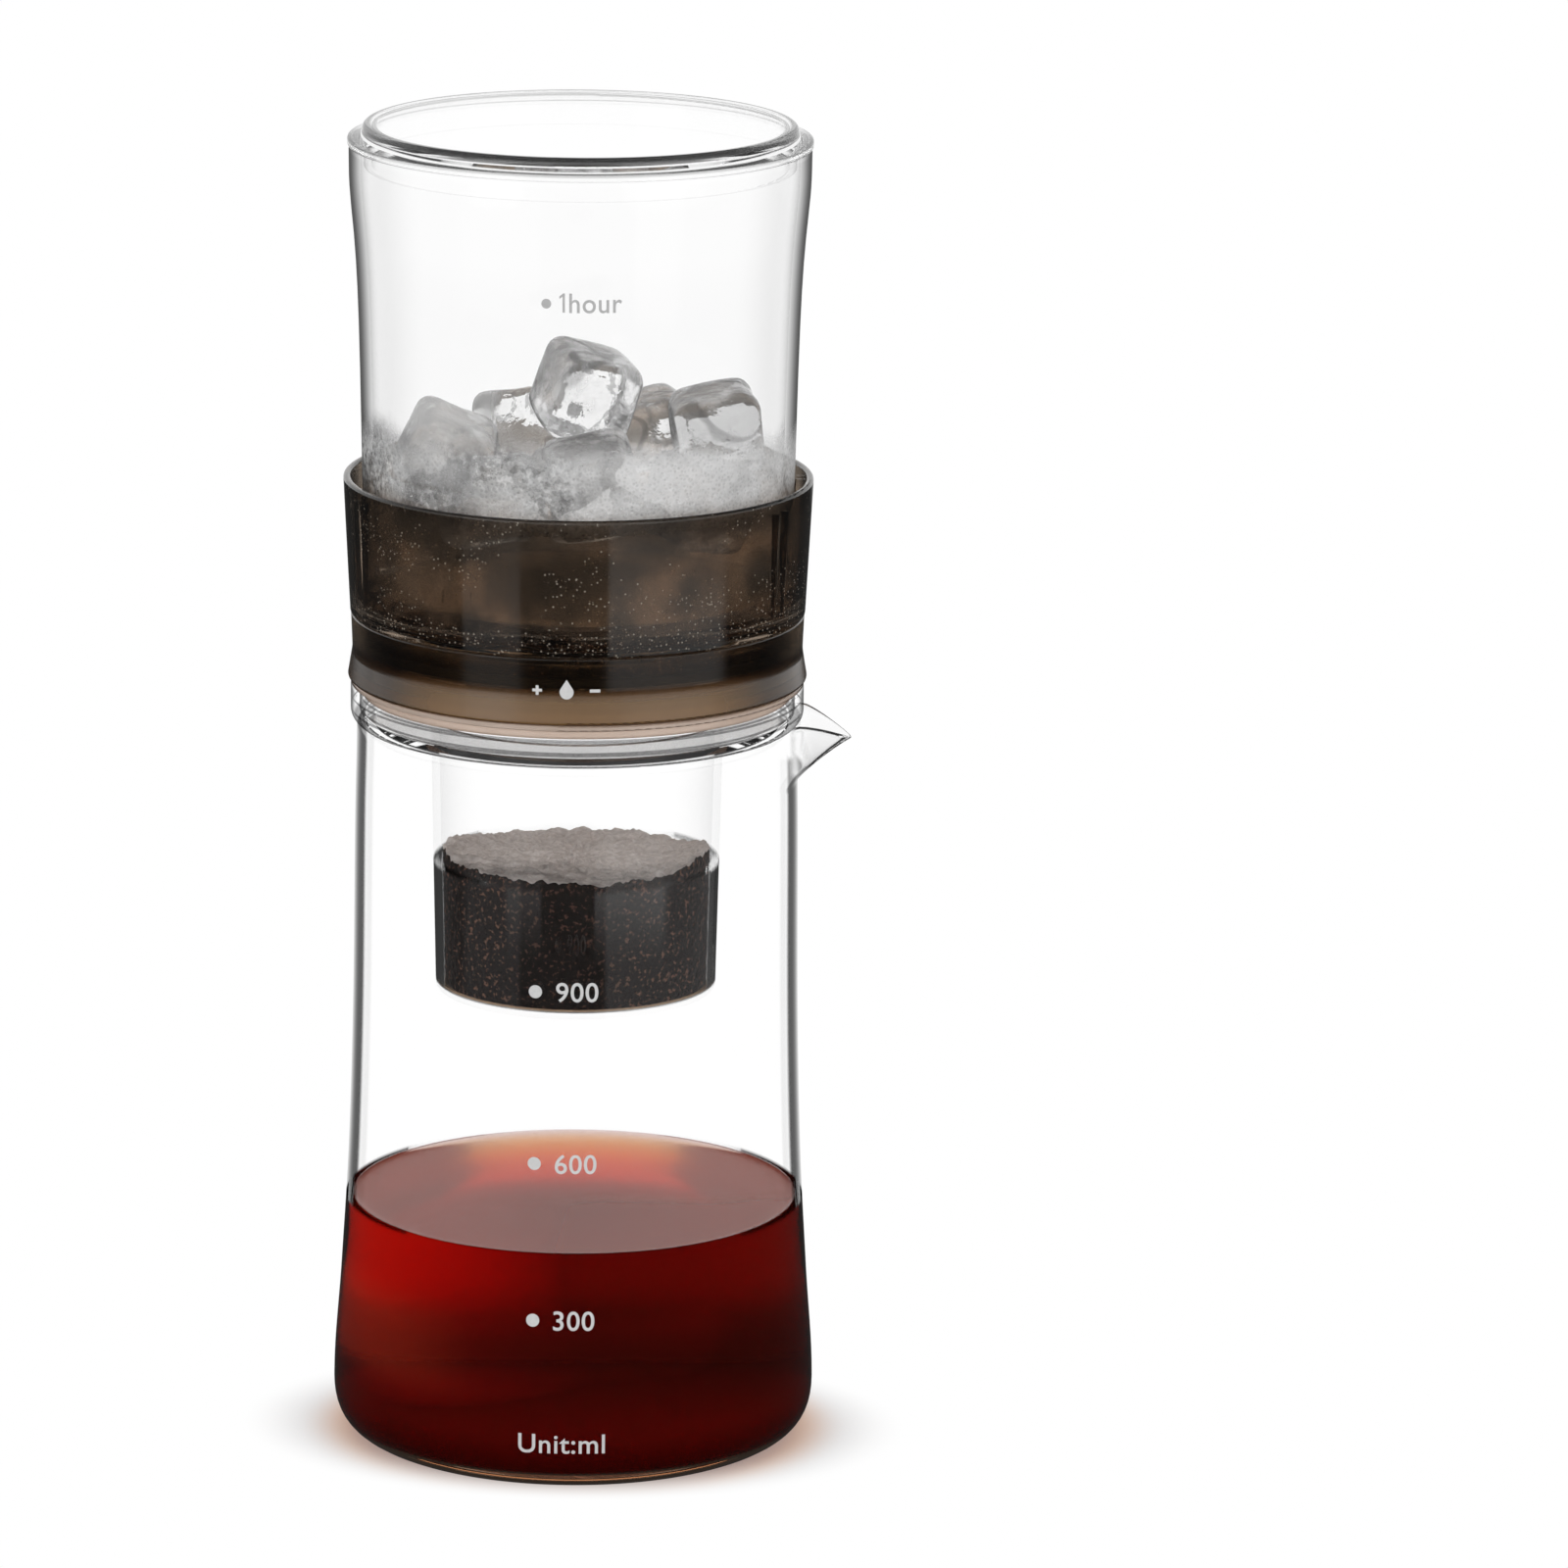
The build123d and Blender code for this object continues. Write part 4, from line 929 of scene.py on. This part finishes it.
# %% [markdown]
# ## Ice
# Ice cubes melt into soft lumps: faces sag and corners round off. They could be sculpted one by one, but a
# rule gives nine of a kind that all differ: each starts as a beveled cube, noise moves its skin, and
# smoothing softens it. Every lump rests where its CAD cube does.

# %% Shape the cubes
TANK_FLOOR = 197.05
CUBE = 20.0
CUBE_ROUND = 4.2
CUBES = (  # x, y, height over the tank's floor, then turns about X, Y and Z in degrees
    (1.5, -2.0, 44.7, 14, 16, 28),
    (1.0, -3.0, 22.0, 0, 0, 20),
    (30.5, 5.0, 35.0, 8, -10, 10),
    (-30.0, -3.0, 29.5, 14, 24, 10),
    (5.5, -28.5, 29.0, 16, -10, 8),
    (28.0, -17.5, 23.5, 10, 12, 52),
    (-17.5, -26.0, 24.5, -8, 10, 82),
    (-13.5, 19.0, 31.0, -12, 10, 55),
    (13.5, 24.0, 29.0, 8, -16, 15),
)


def melt_skin(shape, seed):
    """Moves the skin in slow sags and quick ripples, then smooths it."""
    shape.normal_update()
    moves = []
    for vertex in shape.verts:
        slow = noise.noise(vertex.co * 95.0 + seed)
        quick = noise.noise(vertex.co * 320.0 + seed)
        moves.append(vertex.normal * (0.9 * slow + 0.22 * quick - 0.25) * MM)
    for vertex, move in zip(shape.verts, moves):
        vertex.co += move
    ways = {"use_axis_x": True, "use_axis_y": True, "use_axis_z": True}
    bmesh.ops.smooth_vert(shape, verts=shape.verts, factor=0.5, **ways)


def ice_lump(index, x, y, rise, *turns):
    shape = bmesh.new()
    bmesh.ops.create_cube(shape, size=CUBE * MM)
    bmesh.ops.bevel(
        shape, geom=shape.edges[:], offset=CUBE_ROUND * MM, segments=4, profile=0.5, affect="EDGES"
    )
    bmesh.ops.subdivide_edges(shape, edges=shape.edges[:], cuts=3, use_grid_fill=True)
    bmesh.ops.triangulate(shape, faces=shape.faces[:])
    melt_skin(shape, Vector((17.0 * index, 5.0, 3.0)))
    turn = Euler([math.radians(a) for a in turns]).to_matrix().to_4x4()
    shift = Matrix.Translation(Vector((x, y, TANK_FLOOR + rise)) * MM)
    bmesh.ops.transform(shape, matrix=shift @ turn, verts=shape.verts)
    mesh = bpy.data.meshes.new(f"ice_lump_{index}")
    shape.to_mesh(mesh)
    shape.free()
    mesh.shade_smooth()
    lump = add_object(f"ice_lump_{index}", mesh)
    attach(lump, "tank")
    return lump


lumps = [ice_lump(i, *cube) for i, cube in enumerate(CUBES)]
for lump in lumps:
    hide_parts("ice_cubes")
print("ice lumps:", len(lumps))

# %% [markdown]
# Clear ice bends light strongly, so it is dark where the eye grazes it. Air clouds it in patches, and thin
# dark streaks run through it where noise crosses its middle value. Painted light makes the left of the heap
# milkier, and painted shade makes the right greyer.

# %% Freeze them
ice_finish, graph = new_finish("half_clear_ice")
place = graph.place()
x = graph.axes(place)[0]
cloud = graph.rise(graph.grain(place, 9.0, 4.0, 0.6), 0.50, 0.68)
skin = graph.bump(graph.grain(place, 3.2, 3.0), 0.5, 0.8)
swirl = graph.grain(place, 24.0, 1.5) - 0.5
streak = 1 - graph.rise(swirl * swirl, 0.0, 0.0004)
# painted shade: the right of the heap is tinted greyer
painted_right_side = graph.rise(x, 0.014, 0.024)
tint = graph.blend(graph.blend(grey(0.99), grey(0.66), painted_right_side), grey(0.12), 0.8 * streak)
clear = clear_parts(graph, tint, grey(0.05), 0.50, 1.31, 0.02, skin, stop=0.85)
milky = graph.principled(grey(0.97), 0.30, {"Normal": skin})
# painted light: the left of the heap is milkier
milky_share = 0.08 + cloud * 0.26 + 0.22 * (1 - graph.rise(x, -0.024, -0.014))
graph.surface(lamps_pass(graph, graph.mix_shader(clear, milky, milky_share), grey(0.9)))
for lump in lumps:
    lump.data.materials.append(ice_finish)
print("ice frozen")

# %% [markdown]
# ## Melt water
# The lower half of the heap stands in melt water. The lathe turns it to the tank's inside, again a hair into
# the wall and with a small climb at the edge. It bends light less than real water, so that the lumps show.

# %% Pour the melt water
WATER_LEVEL = 225.05
TANK_WALL = 2.6
WATER_INTO_WALL = 0.1
WATER_CLIMB = 0.5
CORNER_FROM, CORNER_R = 44.8, 3.5  # where the tank's floor starts to round up, and how widely
tank_outer = through([
    (200.05, 48.2), (236.25, 48.7), (256.25, 49.2), (278.25, 50.4), (290.75, 51.4), (297.25, 51.5),
])


def water_outline():
    turns = spread(0.0, math.pi / 2, 0.25)
    corner = [
        (CORNER_FROM + CORNER_R * math.sin(a) - TANK_WALL, TANK_FLOOR + 3.4 * (1 - math.cos(a))) for a in turns
    ]
    heights = spread(202.0, WATER_LEVEL + WATER_CLIMB, 4.0)
    side = [(tank_outer(h) - (TANK_WALL - WATER_INTO_WALL), h) for h in heights]
    edge = tank_outer(WATER_LEVEL) - TANK_WALL
    top = liquid_top(edge, WATER_LEVEL, WATER_CLIMB, (0.4, 1.0, 2.0, 4.0))
    return [(0.0, TANK_FLOOR + OVER_FLOOR)] + corner + side + top


water_finish, graph = new_finish("melt_water")
bending = clear_parts(graph, grey(0.97), grey(0.55), 0.60, 1.05)
graph.surface(lamps_pass(graph, bending, grey(0.97)))
water = lathe("melt_water", water_outline(), "tank", full_turn(180))
water.data.materials.append(water_finish)
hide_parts("ice_water")
print("water poured")

# %% [markdown]
# ## Coffee grounds
# The bed fills the tube with damp grains. Thousands of small grains could be scattered, but they would be
# heavy, and only their rough skin shows. So the lathe gives a bed with points close enough to hold grains,
# and layers of noise move them: slow ones hollow the top, and quick ones make the grains. Against the wall
# the bed is wet and nearly black, with brown specks. Its top is drier and paler, and painted light makes it
# paler still, most of all towards the back.

# %% Heap the grounds
BED_FOOT = 106.4
BED_TOP = 135.6
BED_SOFT = 3.6  # the top layer that noise may lift
GRAIN_ROWS = 0.6
TUBE_FOOT, TUBE_LENGTH = 105.6, 62.7
FOOT_BORE, BORE_GROWTH = 29.9, 1.3


def bore(height):
    """The tube's inner radius, which narrows towards its foot."""
    return FOOT_BORE + BORE_GROWTH * (height - TUBE_FOOT) / TUBE_LENGTH


def grounds_outline():
    bottom = [(r, BED_FOOT) for r in spread(0.0, bore(BED_FOOT) - 0.3, 3.0)]
    side = [(bore(h) - 0.15, h) for h in spread(BED_FOOT + 0.3, BED_TOP, GRAIN_ROWS)]
    top = [(r, BED_TOP) for r in spread(bore(BED_TOP) - 0.6, 0.0, GRAIN_ROWS)]
    return bottom + side + top


def clamp(value):
    return max(0.0, min(1.0, value))


def rough_up(piece):
    """Moves the points of the bed into grains, and its top into soft hollows."""
    for vertex in piece.data.vertices:
        x, y, z = vertex.co / MM
        share = clamp((z - (BED_TOP - BED_SOFT)) / BED_SOFT)
        grain = noise.noise(Vector((x, y, z)) * 0.75) + 0.6 * noise.noise(Vector((x, y, z)) * 1.9)
        hollow = noise.noise(Vector((x * 0.05, y * 0.05, 4.0)))
        hollow += 0.5 * noise.noise(Vector((x * 0.16, y * 0.16, 8.0)))
        clods = noise.noise(Vector((x * 0.3, y * 0.3, 1.0)))
        radius = math.hypot(x, y)
        inwards = 0.22 * (1 + grain) if radius > 28.0 else 0.0
        banked = clamp((abs(x) - 22.0) / 7.0)
        lift = share * (0.8 * hollow + 0.65 * grain + 0.9 * clods - 1.2 * y / 30.0 - 1.0 + 1.8 * banked)
        scale = (radius - inwards) / radius if radius > 0.5 else 1.0
        vertex.co = (x * scale * MM, y * scale * MM, (z + lift) * MM)
    piece.data.update()


grounds = lathe("coffee_bed", grounds_outline(), "basket", full_turn(300))
rough_up(grounds)
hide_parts("coffee_grounds")
print("grounds points:", len(grounds.data.vertices))

# %% Dampen the grounds
grounds_finish, graph = new_finish("damp_grounds")
place = graph.place()
x, y = graph.axes(place)[:2]
grain = graph.grain(place, 1.1, 3.0, 0.6)
speck = graph.rise(graph.grain(place, 0.9, 2.0), 0.56, 0.68)
speck_share = speck * (0.40 + 0.50 * graph.rise(x * x, 0.00004, 0.00030))
wet = graph.blend(rgb(0.002, 0.001, 0.001), rgb(0.013, 0.007, 0.005), grain)
wet = graph.blend(wet, rgb(0.15, 0.072, 0.048), speck_share)
# the top colour is paler than dry grounds, for painted light on the top
dry_and_lit = graph.blend(rgb(0.48, 0.43, 0.41), rgb(1.0, 0.96, 0.93), grain)
damp_patch = graph.rise(graph.grain(place, 6.0, 3.0), 0.45, 0.65)
# painted light: the top is paler towards the back; damp patches are darker
painted_light_behind = 0.64 + 0.70 * graph.rise(y, -0.024, 0.010) - 0.25 * damp_patch
level = graph.rise(graph.upwards(), 0.25, 0.8)
colour = graph.blend(wet, dry_and_lit, level * painted_light_behind)
relief = {"Specular IOR Level": 0.2, "Normal": graph.bump(grain, 0.8, 0.5)}
graph.surface(graph.principled(colour, 0.55 + 0.3 * grain, relief))
grounds.data.materials.append(grounds_finish)
print("grounds damp")

# %% [markdown]
# ## Printed marks
# Millilitre marks are screen printed on the glass, an hour mark on the tank, and plus, drop and minus on the
# dial. Ink could be painted into the glass's own material, but a flat outline stays crisp at any distance.
# Each mark is made from text or from points, and laid onto the round wall a hair proud.

# %% Wrap a flat mark round a wall
FRONT = -math.pi / 2
PROUD = 0.06


def wrap(mesh, radius_at, height):
    """Bends a flat mesh in millimetres onto the round wall, with its origin at the front."""
    for vertex in mesh.vertices:
        across, up = vertex.co.x, vertex.co.y
        level = height + up
        radius = radius_at(level) + PROUD
        angle = FRONT + across / radius
        vertex.co = (radius * math.cos(angle) * MM, radius * math.sin(angle) * MM, level * MM)


def print_mesh(mesh, radius_at, height, body, material):
    wrap(mesh, radius_at, height)
    mark = add_object(mesh.name, mesh)
    mark.data.materials.clear()
    mark.data.materials.append(material)
    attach(mark, body)


def word_mesh(name, words, cap_height, narrow, left):
    """Text as a flat mesh, scaled so that a capital is cap_height tall."""
    curve = bpy.data.curves.new(name, "FONT")
    curve.body = words
    curve.resolution_u = 6
    curve.offset = 0.010
    curve.space_character = 1.06
    holder = bpy.data.objects.new(name + "_outline", curve)
    mesh = bpy.data.meshes.new_from_object(holder)
    bpy.data.objects.remove(holder)
    tall = max(v.co.y for v in mesh.vertices)
    start = min(v.co.x for v in mesh.vertices)
    scale = cap_height / tall
    for vertex in mesh.vertices:
        vertex.co = ((vertex.co.x - start) * scale * narrow + left, vertex.co.y * scale, 0.0)
    return mesh


def polygon_mesh(name, points):
    mesh = bpy.data.meshes.new(name)
    mesh.from_pydata([(x, y, 0.0) for x, y in points], [], [tuple(range(len(points)))])
    return mesh


def disc_points(x, y, radius):
    return [(x + radius * math.cos(a), y + radius * math.sin(a)) for a in full_turn(20)]


print("marks can be wrapped")


# %% Mix the inks
def ink(name, pale, dark):
    material, graph = new_finish(name)
    wear = graph.grain(graph.place(), 0.8, 2.0)
    graph.surface(graph.principled(graph.blend(dark, pale, wear), 0.45 + 0.1 * wear))
    return material


pale_ink = ink("pale_ink", grey(0.80), grey(0.66))
grey_ink = ink("grey_ink", grey(0.58), grey(0.50))
print("ink mixed")

# %% Print the marks
CAP_HEIGHT = 4.35
HOUR_HEIGHT = 268.4


def on_carafe(mesh, height):
    print_mesh(mesh, carafe_outer, height, "carafe", pale_ink)


for words, height in (("300", 38.6), ("600", 74.4), ("900", 113.7)):
    on_carafe(word_mesh("mark_" + words, words, CAP_HEIGHT, 1.0, 0.0), height)
    on_carafe(polygon_mesh("dot_" + words, disc_points(-4.6, 2.1, 1.5)), height)
on_carafe(word_mesh("mark_unit", "Unit:ml", CAP_HEIGHT, 1.02, -7.6), 10.4)

one_points = [
    (0.55, 0.0), (1.08, 0.0), (1.08, 4.3), (0.68, 4.3), (-0.15, 3.60), (-0.15, 3.05), (0.55, 3.55),
]
for mesh in (
    polygon_mesh("mark_one", one_points),
    word_mesh("mark_hour", "hour", 4.3, 0.93, 2.0),
    polygon_mesh("dot_hour", disc_points(-3.0, 1.9, 1.1)),
):
    print_mesh(mesh, tank_outer, HOUR_HEIGHT, "tank", grey_ink)
print("graduations printed")

# %% Draw the dial's symbols
PLUS_ARM, PLUS_HALF = 1.08, 0.33


def plus_points(x):
    """A plus sign: its upper left corner, turned four times."""
    corner = [(-PLUS_HALF, PLUS_HALF), (-PLUS_ARM, PLUS_HALF), (-PLUS_ARM, -PLUS_HALF)]
    points = []
    for quarter in range(4):
        points += [(x + px, py) for px, py in corner]
        corner = [(-py, px) for px, py in corner]
    return points


def drop_points(x, y, radius, tip):
    """A falling drop: a round belly and a pointed top."""
    turns = spread(math.radians(150), math.radians(390), 0.2)
    belly = [(math.cos(a) * radius, math.sin(a) * radius) for a in turns]
    return [(x, y + tip)] + [(x + px, y + py) for px, py in belly]


symbols = {
    "plus": plus_points(-4.5),
    "drop": drop_points(2.0, -0.35, 1.55, 2.9),
    "minus": [(7.1, -0.36), (9.4, -0.36), (9.4, 0.36), (7.1, 0.36)],
}
print("symbols drawn:", len(symbols))

# %% Print the dial's symbols
DIAL_STATIONS = [(176.6, 51.7), (183.2, 50.62), (191.5, 50.95)]
SYMBOL_HEIGHT = 184.4


def dial_outer(height):
    for (low, near), (high, far) in zip(DIAL_STATIONS, DIAL_STATIONS[1:]):
        if height <= high:
            return near + (far - near) * max(0.0, (height - low) / (high - low)) + 0.12
    return DIAL_STATIONS[-1][1]


for name, points in symbols.items():
    print_mesh(polygon_mesh("symbol_" + name, points), dial_outer, SYMBOL_HEIGHT, "dial", pale_ink)
print("symbols printed:", len(symbols))

# %% [markdown]
# ## Render settings
# Light meets many clear walls one behind the other here, so Cycles may follow a ray through more of them
# than usual.

# %% Let rays pass more walls
scene = bpy.context.scene
scene.view_settings.view_transform = "Standard"
scene.cycles.transparent_max_bounces = 24
scene.cycles.transmission_bounces = 20
scene.cycles.glossy_bounces = 20
scene.cycles.max_bounces = 20
